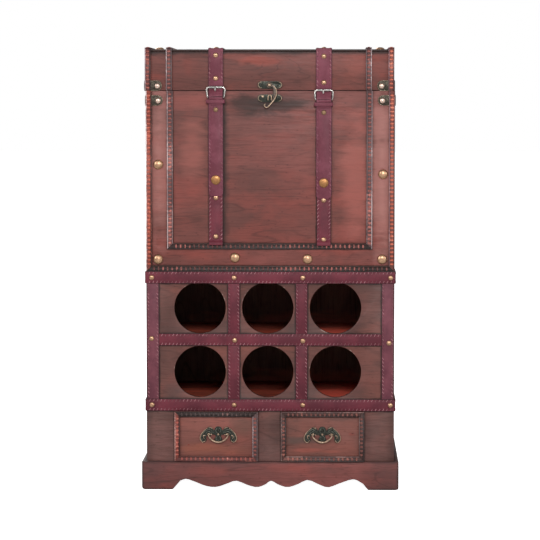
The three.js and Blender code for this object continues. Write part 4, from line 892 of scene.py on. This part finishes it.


# The tones of each kind of moulding, for its bed, cord, beads, lit fillet and dark fillet: the
# stain, the bare wood, and how far it is rubbed bare. On the fillets, pale tones are partly wear and
# partly painted highlight, dark tones painted shade.
trim_tones = {
    "level": (
        ((46, 34, 32), (70, 46, 42), 0.3), ((46, 34, 32), (84, 50, 46), 0.3),
        ((86, 46, 42), (160, 90, 82), 0.55), ((60, 44, 40), (96, 60, 55), 0.3),
        ((46, 34, 32), (70, 46, 42), 0.2)),
    "left_outer": (
        ((110, 54, 48), (160, 80, 68), 0.6), ((122, 60, 52), (168, 82, 68), 0.6),
        ((166, 78, 60), (200, 108, 86), 0.6), ((170, 132, 128), (226, 198, 194), 0.75),
        ((74, 46, 42), (130, 74, 64), 0.5)),
    "lid_left_outer": (
        ((86, 52, 54), (122, 68, 66), 0.5), ((94, 54, 54), (132, 72, 66), 0.5),
        ((126, 62, 54), (174, 94, 80), 0.5), ((134, 104, 108), (186, 156, 160), 0.6),
        ((62, 42, 42), (100, 62, 58), 0.4)),
    "right_outer": (
        ((104, 62, 58), (150, 90, 82), 0.5), ((116, 68, 62), (160, 90, 78), 0.5),
        ((186, 92, 68), (218, 132, 106), 0.5), ((90, 62, 62), (134, 98, 94), 0.5),
        ((122, 88, 92), (170, 132, 132), 0.6)),
    "drawer_left": (
        ((96, 48, 42), (150, 80, 68), 0.5), ((118, 58, 50), (160, 82, 72), 0.6),
        ((160, 80, 67), (196, 118, 100), 0.6), ((150, 96, 88), (198, 150, 140), 0.7),
        ((60, 36, 34), (110, 60, 52), 0.4)),
    "drawer_foot": (
        ((46, 34, 32), (92, 50, 46), 0.4), ((92, 48, 44), (136, 72, 64), 0.6),
        ((146, 74, 66), (200, 128, 116), 0.5), ((84, 46, 42), (140, 78, 70), 0.4),
        ((96, 50, 46), (150, 84, 76), 0.5)),
    "drawer_head": (
        ((54, 42, 40), (84, 58, 54), 0.3), ((58, 46, 44), (92, 70, 66), 0.3),
        ((70, 54, 52), (140, 98, 92), 0.35), ((58, 46, 44), (92, 70, 66), 0.3),
        ((46, 34, 32), (70, 50, 46), 0.2)),
    "drawer_plain": (
        ((66, 48, 45), (102, 68, 62), 0.4), ((74, 50, 47), (116, 72, 65), 0.4),
        ((110, 64, 57), (152, 92, 80), 0.5), ((94, 72, 70), (142, 112, 106), 0.5),
        ((56, 42, 40), (90, 64, 58), 0.3)),
    "inner": (
        ((92, 66, 66), (138, 96, 94), 0.5), ((88, 62, 62), (138, 92, 88), 0.5),
        ((132, 70, 62), (190, 114, 102), 0.5), ((134, 114, 116), (186, 166, 166), 0.65),
        ((100, 82, 83), (150, 124, 124), 0.5))}
trim_stains = {kind: [worn_stain("trim_%s_%s" % (kind, part), tint(*stain), tint(*bare), amount)
                      for part, (stain, bare, amount)
                      in zip(("bed", "cord", "beads", "lit", "dark"), five)]
               for kind, five in trim_tones.items()}
trim_half = trim_wide / 2
trim_face = front - lift
for node, kinds in (("chest_outer_trim", ("left_outer", "level", "right_outer")),
                    ("chest_inner_trim", ("inner", "level", "inner"))):
    low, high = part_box(node)
    x = high[0] - trim_half
    bottom = low[2] + trim_half
    right_x = x - (trim_creep if node == "chest_inner_trim" else 0)
    corners = [(-x, trim_face, high[2]), (-x, trim_face, bottom), (right_x, trim_face, bottom),
               (right_x, trim_face, high[2])]
    for run, (kind, cuts) in enumerate(zip(kinds, ((0, -1), (-1, -1), (-1, 0)))):
        pieces = moulding("%s_%d" % (node, run), corners[run], corners[run + 1], (0, -1, 0), cuts)
        fit_moulding(pieces, "cabinet", kind, *([node] if run == 0 else []))
for side in ("left", "right"):
    for place in ("outer", "inner"):
        node = "lid_trim_%s_%s" % (place, side)
        kind = {"outer_left": "lid_left_outer", "outer_right": "right_outer"}.get(
            place + "_" + side, "inner")
        low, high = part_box(node)
        x = (low[0] + high[0]) / 2 - (trim_creep if (place, side) == ("inner", "right") else 0)
        top = high[2] - trim_tall
        pieces = moulding(node + "_front", (x, trim_face, top + 0.001), (x, trim_face, low[2]),
                          (0, -1, 0), (0, 0))
        fit_moulding(pieces, "lid", kind, node)
        pieces = moulding(node + "_top", (x, trim_face - 0.001, top), (x, high[1], top),
                          (0, 0, 1), (0, 0))
        fit_moulding(pieces, "lid", kind)


# Iron corner plates. Thin black straps with round ends, bent round each corner above and
# below the lid line and held by a nail.
def wire(name, points, radius, closed=False, smooth=True, radii=None, sides=3):
    """A rod of round section bent along the points."""
    clear()
    line = bpy.data.curves.new(name, "CURVE")
    line.dimensions = "3D"
    line.bevel_depth = radius
    line.bevel_resolution = sides
    line.use_fill_caps = True
    line.resolution_u = 8
    spline = line.splines.new("BEZIER" if smooth else "POLY")
    knots = spline.bezier_points if smooth else spline.points
    knots.add(len(points) - 1)
    for index, (knot, point) in enumerate(zip(knots, points)):
        knot.co = point if smooth else (*point, 1)
        knot.radius = radii[index] if radii else 1
        if smooth:
            knot.handle_left_type = knot.handle_right_type = "AUTO"
    spline.use_cyclic_u = closed
    piece = bpy.data.objects.new(name, line)
    bpy.context.scene.collection.objects.link(piece)
    choose(piece)
    bpy.ops.object.convert(target="MESH")
    piece = bpy.context.object
    bpy.ops.object.shade_smooth_by_angle(angle=radians(50))
    return piece


iron = metal("black_iron", tint(74, 68, 60), tint(34, 33, 32), 0.42, 0.6)
worn_iron = metal("worn_iron", tint(150, 138, 120), tint(86, 78, 68), 0.35, 0.5)
pale_brass = metal("pale_brass", tint(214, 188, 172), tint(140, 114, 98), 0.28, 0.4)
sheet = 0.001
plate_half = 0.009
rim_half = 0.0086
rim_y = skin_face - sheet
for side, sign in (("left", -1), ("right", 1)):
    for body, node, drop in (("cabinet", "corner_plate_chest_" + side, 0.0028),
                             ("lid", "corner_plate_lid_" + side, 0.0014)):
        low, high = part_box(node)
        middle = (low[2] + high[2]) / 2 - drop
        outer = max(abs(low[0]), abs(high[0])) - sheet
        tip = min(abs(low[0]), abs(high[0]))
        path = [(sign * tip, skin_face, middle), (sign * outer, skin_face, middle),
                (sign * outer, high[1], middle)]
        plate = strip(node + "_iron", path, (0, 0, plate_half), (0, -1, 0), sheet, 0.0012,
                      (0.0085, 0.0085), 0.0003)
        fit(plate, body, "bronze", iron, node)
        line = [(outer - sheet, rim_half)]
        line += [(tip + plate_half - rim_half * sin(turn), rim_half * cos(turn))
                 for turn in (pi * step / 8 for step in range(9))]
        line.append((outer - sheet, -rim_half))
        rim = wire(node + "_rim", [(sign * x, rim_y, middle + dz) for x, dz in line], 0.0004)
        fit(rim, body, "bronze", worn_iron)
        head = copies(node + "_nail", dome(node + "_nail", 0.0053, 0.003),
                      [(sign * (outer - 0.0228), rim_y, middle - 0.0006)])
        fit(head, body, "brass", pale_brass)

# Lid. A shallow box of the same stained boards, glued at the corners. Its top board lies flush
# with them and is nailed down with four brass domes; painted shade darkens the rounded top edge of
# its front and the seam below.
lid_tones = (tint(138, 78, 71), tint(106, 65, 59), tint(150, 70, 59))
board_low, board_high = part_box("lid_front")
top_crown = 0.0043
lid_low = (board_low[0], front, board_low[2])
lid_high = (board_high[0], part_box("lid_back")[1][1], board_high[2] + top_crown)
# The first two spots paint the shade on the rounded top edge; the rest are stain.
lid_stain_and_shade = [blot(0.0, lid_high[2], 0.9, 0.006, 0.95),
               blot(0.0, lid_high[2], 0.9, 0.013, 0.6),
               blot(-0.04, 0.7688, 0.008, 0.0028, 0.9),
               blot(-0.02, 0.774, 0.05, 0.012, 0.35, tint(160, 72, 58)),
               blot(0.15, 0.76, 0.03, 0.03, 0.25, tint(158, 84, 72))]
# Each board also gets lines of painted shade along the seam and under the top edge.
for node, along in (("lid_front", "X"), ("lid_back", "X"), ("lid_side_left", "Y"),
                    ("lid_side_right", "Y")):
    skin = stained(node + "_stain", *lid_tones, patches=0.75, grain_along=along,
                   shift=(0.25, 0.6, 0.55), rim=(lid_low, lid_high),
                   rim_reach=0.008, rim_share=0.3, stain_and_light_spots=lid_stain_and_shade,
                   lines=[((-1, -1, lid_low[2]), (1, 1, 1), 0.0011, 1.0),
                          ((-1, -1, -1), (1, 1, board_high[2]), 0.0068, 0.9)])
    fit(eased(node), "lid", "stained_wood", skin, node)
low, high = [Vector(corner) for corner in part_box("lid_top")]
high.z = lid_high[2]
top_skin = stained("lid_top_stain", *lid_tones, patches=0.6, grain_along="X", shift=(0.6, 0.1, 0.9),
                   rim=((low.x, low.y, 0), (high.x, high.y, 1)), rim_reach=0.02, rim_share=0.5,
                   stain_and_light_spots=lid_stain_and_shade)
fit(block("lid_top_board", low, high, 0.0012), "lid", "stained_wood", top_skin, "lid_top")
upward = Matrix.Rotation(-pi / 2, 4, "X")
nail_in, nail_back = 0.0249, 0.034
nail_places = [Matrix.Translation((x, y, high.z)) @ upward for x in (low.x + nail_in, high.x - nail_in)
               for y in (low.y + nail_back, high.y - nail_back)]
fit(copies("lid_nails", dome("nail_head", 0.0083, 0.0044), nail_places), "lid", "brass", brass)


# Latch. A pivoted hook of flat bronze hangs from the upper plate over the staple of the lower
# one. Both plates are stamped with round ends and a raised rim, and are screwed on.
def stadium(name, x, z, width, height, near, far):
    """A flat plate with round ends on the front."""
    return strip(name, [(x - width / 2, near, z), (x + width / 2, near, z)], (0, 0, height / 2),
                 (0, -1, 0), near - far, 0.0, (height * 0.49, height * 0.49), 0.0004)


def screw(x, y, z, radius=0.0024):
    """A round-headed screw with its slot."""
    head = copies("screw", dome("screw", radius, 0.0011), [(x, y, z)])
    cutter = block("slot", (x - radius, y - 0.0015, z - 0.0003), (x + radius, y - 0.0006, z + 0.0003), 0)
    cut = head.modifiers.new("slot", "BOOLEAN")
    cut.operation = "DIFFERENCE"
    cut.object = cutter
    choose(head)
    bpy.ops.object.modifier_apply(modifier=cut.name)
    bpy.data.objects.remove(cutter)
    return head


def rod(name, centre, radius, long, turn, sides=24, width=0.0004):
    """A short round bar with its ends eased."""
    clear()
    bpy.ops.mesh.primitive_cylinder_add(vertices=sides, radius=radius, depth=long, location=centre,
                                        rotation=turn)
    bar = bpy.context.object
    bar.name = name
    settle()
    soften(bar, width)
    return bar


def eye(name, centre, radius, thick, turn, steps):
    """A ring of round wire."""
    clear()
    bpy.ops.mesh.primitive_torus_add(major_radius=radius, minor_radius=thick, major_segments=steps,
                                     minor_segments=8, location=centre, rotation=turn)
    loop = bpy.context.object
    loop.name = name
    settle()
    bpy.ops.object.shade_smooth()
    return loop


to_front = (pi / 2, 0, 0)
across = (0, pi / 2, 0)
bronze = metal("antique_bronze", tint(66, 68, 62), tint(30, 32, 30), 0.36, 0.6)
rubbed_bronze = metal("rubbed_bronze", tint(190, 164, 140), tint(120, 98, 80), 0.34, 0.5)
hook_bronze = metal("hook_bronze", tint(104, 92, 84), tint(58, 52, 47), 0.38, 0.5)
plate_low, plate_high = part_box("latch_plate")
upper_z = (plate_low[2] + plate_high[2]) / 2 - 0.0006
catch_low, catch_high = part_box("latch_catch")
lower_z = (catch_low[2] + catch_high[2]) / 2
latch_x = (catch_low[0] + catch_high[0]) / 2
latch_wide = catch_high[0] - catch_low[0]
plate_face = skin_face - 0.0016
hook_low, hook_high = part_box("latch_hook")
pivot_x, pivot_z = -0.0013, hook_high[2] - 0.0046
parts = [stadium("latch_upper", latch_x, upper_z, latch_wide, 0.0132, skin_face, plate_face)]
parts += [screw(latch_x + dx, plate_face, upper_z) for dx in (-0.014, 0.014)]
# These two screws are rubbed bright, and their pale metal also paints the glint they catch.
rubbed = {"lid": [screw(pivot_x, hook_low[1] - lift, pivot_z, 0.0026)],
          "cabinet": [screw(latch_x - 0.0128, plate_face, lower_z + 0.0034)]}
end_line = [(0.0140, 0.0056), (0.0190, 0.0040), (0.0209, 0), (0.0190, -0.0040), (0.0140, -0.0056)]
for body, z in (("lid", upper_z), ("cabinet", lower_z)):
    rubbed[body] += [wire("rim", [(latch_x + sign * dx, plate_face, z + dz) for dx, dz in end_line], 0.0005,
                          radii=(0.3, 0.9, 1.2, 0.9, 0.3)) for sign in (-1, 1)]
    fit(join("latch_rim_" + body, rubbed[body]), body, "bronze", rubbed_bronze)
parts.append(rod("pivot_boss", (pivot_x, (plate_face + hook_high[1]) / 2, pivot_z), 0.004,
                 plate_face - hook_high[1], to_front, 28))
fit(join("latch_plate_bronze", parts), "lid", "bronze", bronze, "latch_plate")

catch = stadium("latch_catch_bronze", latch_x, lower_z, latch_wide, 0.0134, skin_face, plate_face)
catch = join("latch_catch_bronze", [catch, screw(latch_x + 0.0136, plate_face, lower_z)])
fit(catch, "cabinet", "bronze", bronze, "latch_catch")
# The staple's pale metal is partly rubbed bright and partly a painted highlight.
staple_x, staple_z = -0.0008, lower_z + 0.0015
staple_line = [(-0.003, -0.005), (-0.003, 0), (-0.0021, 0.0031), (0, 0.0041), (0.0021, 0.0031),
               (0.003, 0), (0.003, -0.005)]
staple = wire("latch_staple", [(staple_x + dx, plate_face - 0.0011, staple_z + dz)
                               for dx, dz in staple_line], 0.00115)
fit(staple, "cabinet", "bronze", rubbed_bronze)

hook_y = (hook_low[1] + hook_high[1]) / 2
hook_line = [(0.003, 0.001), (0.0070, -0.0026), (0.0092, -0.0078), (0.0099, -0.0140), (0.0090, -0.0200),
             (0.0075, -0.0250), (0.0044, -0.0300), (0.0012, -0.0342), (-0.0022, -0.0380),
             (-0.0048, -0.0396), (-0.0076, -0.0385), (-0.0088, -0.0362), (-0.0074, -0.0342)]
hook = wire("hook_arm", [(pivot_x + dx, 0, pivot_z + dz) for dx, dz in hook_line], 0.0026,
            radii=(0.7, 1.0, 1.25, 1.35, 1.15, 0.8, 0.62, 0.56, 0.54, 0.56, 0.6, 0.6, 0.5))
choose(hook)
hook.scale = (1, 0.3, 1)
hook.location = (0, hook_y, 0)
settle()
hook_eye = eye("hook_eye", (pivot_x, hook_y, pivot_z), 0.0044, 0.0012, to_front, 28)
fit(join("latch_hook_bronze", [hook, hook_eye]), "hook", "bronze", hook_bronze, "latch_hook")
edge_line = [(0.0080, -0.0010), (0.0112, -0.0056), (0.0130, -0.0115), (0.0126, -0.0165), (0.0108, -0.0220),
             (0.0086, -0.0261), (0.0050, -0.0307), (0.0018, -0.0345), (-0.0016, -0.0383),
             (-0.0048, -0.0402), (-0.0079, -0.0389), (-0.0093, -0.0362), (-0.0076, -0.0336)]
rim = wire("latch_hook_rim", [(pivot_x + dx, hook_y - 0.0006, pivot_z + dz) for dx, dz in edge_line],
           0.001, radii=(0.3, 0.6, 0.8, 0.8, 0.9, 1.0, 1.0, 1.0, 1.0, 0.9, 0.9, 0.9, 0.7))
fit(rim, "hook", "bronze", rubbed_bronze)

# Straps. On each side a lid strap runs over the lid and under a nickel buckle; the tongue is
# folded round the buckle's bottom bar, held by a keeper loop and a rivet, and its rounded end
# snaps on to a shorter strap riveted to the chest.
nickel = metal("bright_nickel", tint(214, 210, 204), tint(120, 114, 108), 0.16, 0.35, 320.0)
grey_nickel = metal("grey_nickel", tint(168, 166, 162), tint(120, 116, 112), 0.3, 0.4, 320.0)
snap_brass = metal("snap_brass", tint(152, 122, 94), tint(104, 84, 64), 0.44, 0.5)
cap_brass = metal("cap_brass", tint(158, 114, 74), tint(116, 82, 54), 0.36, 0.4)

# Heights of the rivets on the lid and on the chest, from the top down.
lid_rivets = {"left": (0.7829, 0.7417), "right": (0.7809, 0.7341)}
chest_rivets = {"left": (0.5279, 0.458), "right": (0.5236, 0.4525)}
wide_half = 0.0135
strap_slant = radians(40)
bar = 0.0017
bar_y = front - 0.0043
prong_x = -0.001
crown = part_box("lid_top")[1][2] - 0.0044 + lift
over_trim = trim_face - 0.0042
for side, drop, half in (("left", 0.0, wide_half), ("right", 0.0052, wide_half + 0.0009)):
    # The strap over the lid, with a rivet near each end on top and two in front.
    x = strap_x[side] + (wide_half - half) * 0.7
    level = lid_seam - drop
    edge = half * 0.8
    body = "strap_" + side
    low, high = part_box("lid_strap_" + side)
    path = [(x, high[1], crown), (x, skin_face, crown), (x, skin_face, low[2] - 0.0012)]
    lid_strap = strip("lid_strap_%s_leather" % side, path, (half, 0, 0), (0, 0, 1), hide, 0.0016)
    fit(lid_strap, "lid", "leather", strap_plum, "lid_strap_" + side)
    rows = []
    for row_x in (x - edge, x + edge):
        rows.append(((row_x, stitch_face, low[2] + 0.004), (row_x, stitch_face, crown - inset),
                     (0, -1, 0), strap_slant))
        rows.append(((row_x, skin_face + 0.003, crown + hide + proud),
                     (row_x, high[1] - inset, crown + hide + proud), (0, 0, 1), strap_slant))
    fit(stitches("lid_strap_%s_stitches" % side, rows), "lid", "leather", thread)
    head = dome("rivet_head", *rivet_size)
    places = [Matrix.Translation((x, rivet_face, z)) for z in lid_rivets[side]]
    places += [Matrix.Translation((x, y, crown + hide)) @ upward for y in (front + 0.026, high[1] - 0.018)]
    fit(copies("lid_strap_%s_rivets" % side, head, places), "lid", "brass", brass)

    # The short strap on the chest. Its foot laps over the moulding below.
    low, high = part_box("body_strap_" + side)
    path = [(x, skin_face, high[2]), (x, skin_face, low[2] + 0.004), (x, over_trim, low[2] + 0.0004),
            (x, over_trim, low[2] - 0.0034 - drop / 8)]
    chest_strap = strip("body_strap_%s_leather" % side, path, (0.01275, 0, 0), (0, -1, 0), hide, 0.0012)
    fit(chest_strap, "cabinet", "leather", plum, "body_strap_" + side)
    rows = [((row_x, stitch_face, level - 0.1893), (row_x, stitch_face, low[2] + 0.0045), (0, -1, 0),
             -strap_slant) for row_x in (x - 0.0102, x + 0.0102)]
    fit(stitches("body_strap_%s_stitches" % side, rows), "cabinet", "leather", thread)
    places = [(x, rivet_face, z) for z in chest_rivets[side]]
    fit(copies("body_strap_%s_rivets" % side, dome("rivet_head", *rivet_size), places),
        "cabinet", "brass", brass)

    # The buckle: a bent wire frame with a roller on its upper bar and a prong.
    top_z = level + 0.008 - bar
    bottom_z = level - 0.0148 + bar
    wide = 0.018 - bar
    half_frame = [(wide - 0.0036, top_z), (wide - 0.0014, top_z - 0.001), (wide - 0.0002, top_z - 0.0036),
                  (wide, top_z - 0.008), (wide - 0.0008, bottom_z + 0.006),
                  (wide - 0.0024, bottom_z + 0.0014), (wide - 0.004, bottom_z)]
    corners = [(0.0036 - wide, top_z)] + half_frame + [(-dx, z) for dx, z in reversed(half_frame[1:])]
    loop = wire("buckle_frame", [(x + dx, bar_y, z) for dx, z in corners], bar, True, False)
    roller = rod("buckle_%s_roller" % side, (x, bar_y, top_z), 0.0022, 0.0236, across)
    prong = wire("buckle_prong", [(x + prong_x, bar_y + 0.001, top_z - 0.0078),
                                  (x + prong_x, bar_y - 0.0022, top_z - 0.0046),
                                  (x + prong_x, bar_y - 0.0034, top_z + 0.0006)], 0.0016,
                 radii=(0.8, 1, 1))
    fit(join("buckle_%s_nickel" % side, [loop, prong]), body, "nickel", nickel, "buckle_" + side)
    fit(roller, body, "nickel", grey_nickel)

    # The tongue, its tail folded round the buckle's lower bar, and the keeper loop.
    tongue_y = front - 0.0028
    lap_y = tongue_y - hide
    end_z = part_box("strap_tongue_" + side)[0][2] - 0.0032
    tongue = strip("tongue_%s_leather" % side, [(x, tongue_y, level - 0.0153), (x, tongue_y, end_z)],
                   (half, 0, 0), (0, -1, 0), hide, 0.0, (0.0, 0.0088))
    tail_z = level - 0.0156
    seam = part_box("lid_strap_" + side)[0][2]
    path = [(x, skin_face, seam - 0.0008), (x, front - 0.0062, bottom_z + 0.0042),
            (x, front - 0.0072, bottom_z - 0.0004), (x, lap_y, tail_z), (x, lap_y, tail_z - 0.0095)]
    tail = strip("tail_%s_leather" % side, path, (half - 0.0006, 0, 0), (0, -1, 0), hide, 0.001,
                 (0.0, 0.003))
    lap = strip("lap_%s_leather" % side, [(x, skin_face, bottom_z - 0.002), (x, skin_face, level - 0.0413)],
                (half, 0, 0), (0, -1, 0), 0.0024)
    fold = rod("fold", (x, bar_y, bottom_z), 0.004, 2 * half, across, width=0.0005)
    keep_far, keep_near = lap_y - hide - 0.0003, front - 0.0012
    keep_left, keep_right = x - 0.0163, x + 0.0149
    keeper_z = tail_z - 0.0034
    path = [(keep_left, keep_near, keeper_z), (keep_left, keep_far, keeper_z),
            (keep_right, keep_far, keeper_z), (keep_right, keep_near, keeper_z)]
    keeper = strip("keeper_%s_leather" % side, path, (0, 0, 0.0035), (-1, 0, 0), 0.0013, 0.0012)
    whole = join("strap_tongue_%s_leather" % side, [tongue, tail, lap, fold, keeper])
    fit(whole, body, "leather", strap_plum, "strap_tongue_" + side)
    face = lap_y - proud
    rows = [((row_x, face, level - 0.0433), (row_x, face, end_z + 0.008), (0, -1, 0), strap_slant)
            for row_x in (x - edge, x + edge)]
    fit(stitches("tongue_%s_stitches" % side, rows), body, "leather", faint_thread)
    fit(copies("tongue_%s_rivet" % side, dome("rivet_head", 0.0044, 0.0022),
               [(x, lap_y, level - 0.0336)]), body, "brass", snap_brass)
    cap = copies("tongue_%s_snap_cap" % side, dome("cap", 0.0085, 0.0016, 0.0008),
                 [(x, lap_y - 0.0006, level - 0.1596)])
    fit(cap, body, "brass", cap_brass)

# Hinges. Two plain butt hinges of dull brass behind the lid line, with one leaf on the back of
# the lid and the other on the back of the chest.
for side in ("left", "right"):
    for body, node in (("cabinet", "hinge_leaf_body_" + side), ("lid", "hinge_leaf_lid_" + side)):
        fit(eased(node, 0.0003), body, "brass", snap_brass, node)

# Drawers. Each front is a board framed by the same beaded moulding, glued to a grooved box
# with a thin loose bottom. The box and its bottom are left pale and unstained.
drawer_tones = {
    "left": (tint(134, 80, 71), tint(106, 67, 60), tint(140, 73, 62)),
    "right": (tint(126, 80, 72), tint(100, 66, 59), tint(132, 76, 65))}
# Stains on each front: across and up as shares of it, half width, half height, strength, tone.
drawer_blots = {
    "left": [(0.4, 0.26, 0.07, 0.015, 0.45, (152, 88, 68)),
             (0.82, 0.7, 0.035, 0.025, 0.6, (88, 64, 55)),
             (0.17, 0.33, 0.0025, 0.0013, 0.9, (120, 40, 34)),
             (0.86, 0.2, 0.02, 0.012, 0.3, (100, 66, 58))],
    "right": [(0.22, 0.44, 0.05, 0.009, 0.85, (88, 68, 62)),
              (0.33, 0.22, 0.04, 0.005, 0.35, (160, 82, 70)),
              (0.6, 0.2, 0.02, 0.004, 0.3, (158, 82, 68)),
              (0.85, 0.56, 0.012, 0.006, 0.6, (130, 56, 50)),
              (0.86, 0.57, 0.005, 0.0025, 0.9, (72, 40, 36)),
              (0.72, 0.86, 0.03, 0.006, 0.45, (88, 64, 58))]}
frame_kinds = {"left": ("drawer_left", "drawer_foot", "inner", "drawer_head"),
               "right": ("drawer_plain",) * 4}
frame_half = 0.0047
board_thick = 0.008
for side in ("left", "right"):
    body = "drawer_" + side
    low, high = [Vector(corner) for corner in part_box("drawer_front_" + side)]
    board_face = high.y - board_thick
    wide, tall = high.x - low.x, high.z - low.z
    blots = [((low.x + wide * across_by, low.y, low.z + tall * up), (reach, 0.05, rise), share,
              tint(*shade)) for across_by, up, reach, rise, share, shade in drawer_blots[side]]
    skin = stained("drawer_front_%s_stain" % side, *drawer_tones[side], patches=0.5, grain_along="X",
                   shift=(0.4 + len(side), 0.2, 0.35), rim=((low.x, -1, low.z), (high.x, 1, high.z)),
                   rim_reach=0.014, rim_share=0.3, stain_and_light_spots=blots)
    board = block("drawer_front_%s_board" % side, (low.x, board_face, low.z), high, 0.0008)
    fit(board, body, "stained_wood", skin, "drawer_front_" + side)
    x0, x1 = low.x + frame_half, high.x - frame_half
    z0, z1 = low.z + frame_half, high.z - frame_half
    corners = [(x0, board_face, z1), (x0, board_face, z0), (x1, board_face, z0), (x1, board_face, z1)]
    for run, kind in enumerate(frame_kinds[side]):
        pieces = moulding("drawer_%s_frame_%d" % (side, run), corners[run], corners[(run + 1) % 4],
                          (0, -1, 0), (-1, -1), 2 * frame_half, 0.0024, 0.0038)
        fit_moulding(pieces, body, kind)
    for node, along in (("drawer_box_" + side, "Y"), ("drawer_bottom_" + side, "X")):
        skin = stained(node + "_stain", tint(150, 110, 84), tint(116, 80, 60), tint(140, 92, 70), 0.3,
                       along, (0.2, 0.7, 0.1), rough=0.2)
        fit(eased(node, 0.0005), body, "inner_wood", skin, node)


# Drop handles. A cast backplate of scrolls and leaves with a swinging bail between two ears,
# antique bronze with its edges rubbed bright. Its lines are given in thousandths, from its middle.
def swell(count, thin, fat):
    """The thickness along a scroll, fat in the middle and thin at both ends."""
    return [thin + fat * sin(pi * step / (count - 1)) for step in range(count)]


def casting(name, outline):
    """A thin plate of the outline given, with rounded edges, standing on the front."""
    clear()
    metal_sheet = bpy.data.curves.new(name, "CURVE")
    metal_sheet.dimensions = "2D"
    metal_sheet.fill_mode = "BOTH"
    metal_sheet.extrude = 0.0005
    metal_sheet.bevel_depth = 0.0005
    metal_sheet.bevel_resolution = 2
    metal_sheet.resolution_u = 4
    spline = metal_sheet.splines.new("BEZIER")
    spline.bezier_points.add(len(outline) - 1)
    for knot, (dx, dz) in zip(spline.bezier_points, outline):
        knot.co = (dx * 0.985, dz * 0.985, 0)
        knot.handle_left_type = knot.handle_right_type = "AUTO"
    spline.use_cyclic_u = True
    plate = bpy.data.objects.new(name, metal_sheet)
    bpy.context.scene.collection.objects.link(plate)
    choose(plate)
    bpy.ops.object.convert(target="MESH")
    return bpy.context.object


half_outline = [(0, 15.6), (3.2, 14.8), (5.4, 12.6), (6.6, 9.2), (8.2, 8.4), (10.2, 11.2), (13.2, 14.4),
                (17, 14.8), (20.6, 12.4), (24.4, 9.4), (28.6, 4.8), (31.6, 0.2), (33.2, -4.6),
                (32.8, -8.6), (30.4, -12.0), (26.8, -13.2), (23.6, -11.4), (22.2, -7.8), (22.6, -3.8),
                (20.6, 0.4), (16.6, 2.0), (9.6, 1.8), (5.6, 0.6), (4.4, -2.4), (6.2, -5.6), (6.4, -8.4),
                (3.6, -10.8)]
outline = [(dx / 1000, dz / 1000) for dx, dz in half_outline]
outline += [(-dx, dz) for dx, dz in reversed(outline[1:])]
rims = [[(19.6, 13.0), (24.6, 9.0), (28.8, 4.4), (31.6, -0.4), (32.8, -5.0), (31.8, -9.2), (28.4, -12.2),
         (25.0, -11.6), (23.2, -8.4)],
        [(11.0, 11.6), (13.8, 13.9), (17.0, 14.0)],
        [(23.0, -1.2), (24.6, -0.2), (26.4, -1.4), (26.8, -3.8), (25.4, -6.2)]]
scrolls = [
    [(9, 4.4), (12.6, 8.6), (17, 10.8), (21.4, 8.8), (25.4, 4.6), (28.6, -0.4), (29.8, -5.2),
     (28.6, -9.2), (26.6, -9.0)],
    [(9.6, 3.6), (14, 5.8), (18.6, 6.2), (22.4, 3.0), (25.2, -0.8)],
    [(0, 2.6), (3.2, 5.0), (4.3, 8.4), (3, 11.6), (0, 13.6)],
    [(0, 0.5), (2.6, -2.4), (4.2, -6.4), (2.6, -9.2), (0, -10.2)]]
bosses = ((0, 0.0022, 0.0026), (0, 0.0088, 0.0022), (0.0285, -0.0102, 0.0016),
          (-0.0285, -0.0102, 0.0016))
raised_bronze = metal("raised_bronze", tint(98, 100, 92), tint(36, 38, 35), 0.34, 0.75, 420.0)
bail_bronze = metal("bail_bronze", tint(182, 156, 134), tint(104, 86, 72), 0.34, 0.6)
ear_out = 0.0138
span, fall, shoulder = 0.0178, 0.0136, 0.0016
turns = [pi * step / 10 for step in range(1, 10)]
bail_line = [(-0.0116, 0), (0.0018 - span, 0.0001), (-span, -shoulder)]
bail_line += [(-span * cos(turn), -shoulder - (fall - shoulder) * sin(turn) ** 1.5) for turn in turns]
bail_line += [(span, -shoulder), (span - 0.0018, 0.0001), (0.0116, 0)]
bail_radii = [1.0, 0.95, 0.9] + [0.9 + 0.5 * sin(turn) for turn in turns] + [0.9, 0.95, 1.0]
for side, moved in (("left", 0.0016), ("right", -0.0028)):
    body = "drawer_" + side
    low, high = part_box("handle_plate_" + side)
    x = (low[0] + high[0]) / 2 + moved
    z = high[2] - half_outline[0][1] / 1000
    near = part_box("drawer_front_" + side)[1][1] - board_thick - lift
    far = near - 0.0022
    axis_y, axis_z = front - 0.0124, z + 0.0012
    plate = casting("backplate", outline)
    plate.matrix_world = Matrix.Translation((x, near - 0.001, z)) @ Matrix.Rotation(pi / 2, 4, "X")
    settle()
    bpy.ops.object.shade_smooth_by_angle(angle=radians(40))
    parts, raised, bright = [plate], [], []
    for mirror in (-1, 1):
        for lines, made, name, radius, fat in ((scrolls, raised, "scroll", 0.001, 0.7),
                                               (rims, bright, "rim", 0.0009, 0.6)):
            for line in lines:
                points = [(x + mirror * dx / 1000, near - 0.0021, z + dz / 1000) for dx, dz in line]
                made.append(wire(name, points, radius, radii=swell(len(line), 0.5, fat)))
        parts.append(eye("ear", (x + mirror * ear_out, axis_y, axis_z), 0.0021, 0.0008, across, 20))
        bright.append(wire("ear_rim", [(x + mirror * 0.0195, near - 0.0024, z + 0.0014),
                                       (x + mirror * 0.0165, near - 0.003, z + 0.003),
                                       (x + mirror * 0.0118, near - 0.0026, z + 0.0018)], 0.0009))
    bright.append(copies("boss", dome("boss", 0.0021, 0.0015), [(x, far - 0.001, z + 0.0018)]))
    fit(join("handle_rims_%s" % side, bright), body, "bronze", bail_bronze)
    fit(join("handle_scrolls_%s" % side, raised), body, "bronze", raised_bronze)
    for dx, dz, radius in bosses:
        parts.append(copies("boss", dome("boss", radius, 0.0016), [(x + dx, far + 0.0002, z + dz)]))
    fit(join("handle_plate_%s_bronze" % side, parts), body, "bronze", bronze, "handle_plate_" + side)
    bail = wire("handle_bail_%s_bronze" % side, [(x + dx, axis_y, axis_z + dz) for dx, dz in bail_line],
                0.0012, radii=bail_radii)
    fit(bail, "bail_" + side, "bronze", bail_bronze, "handle_bail_" + side)
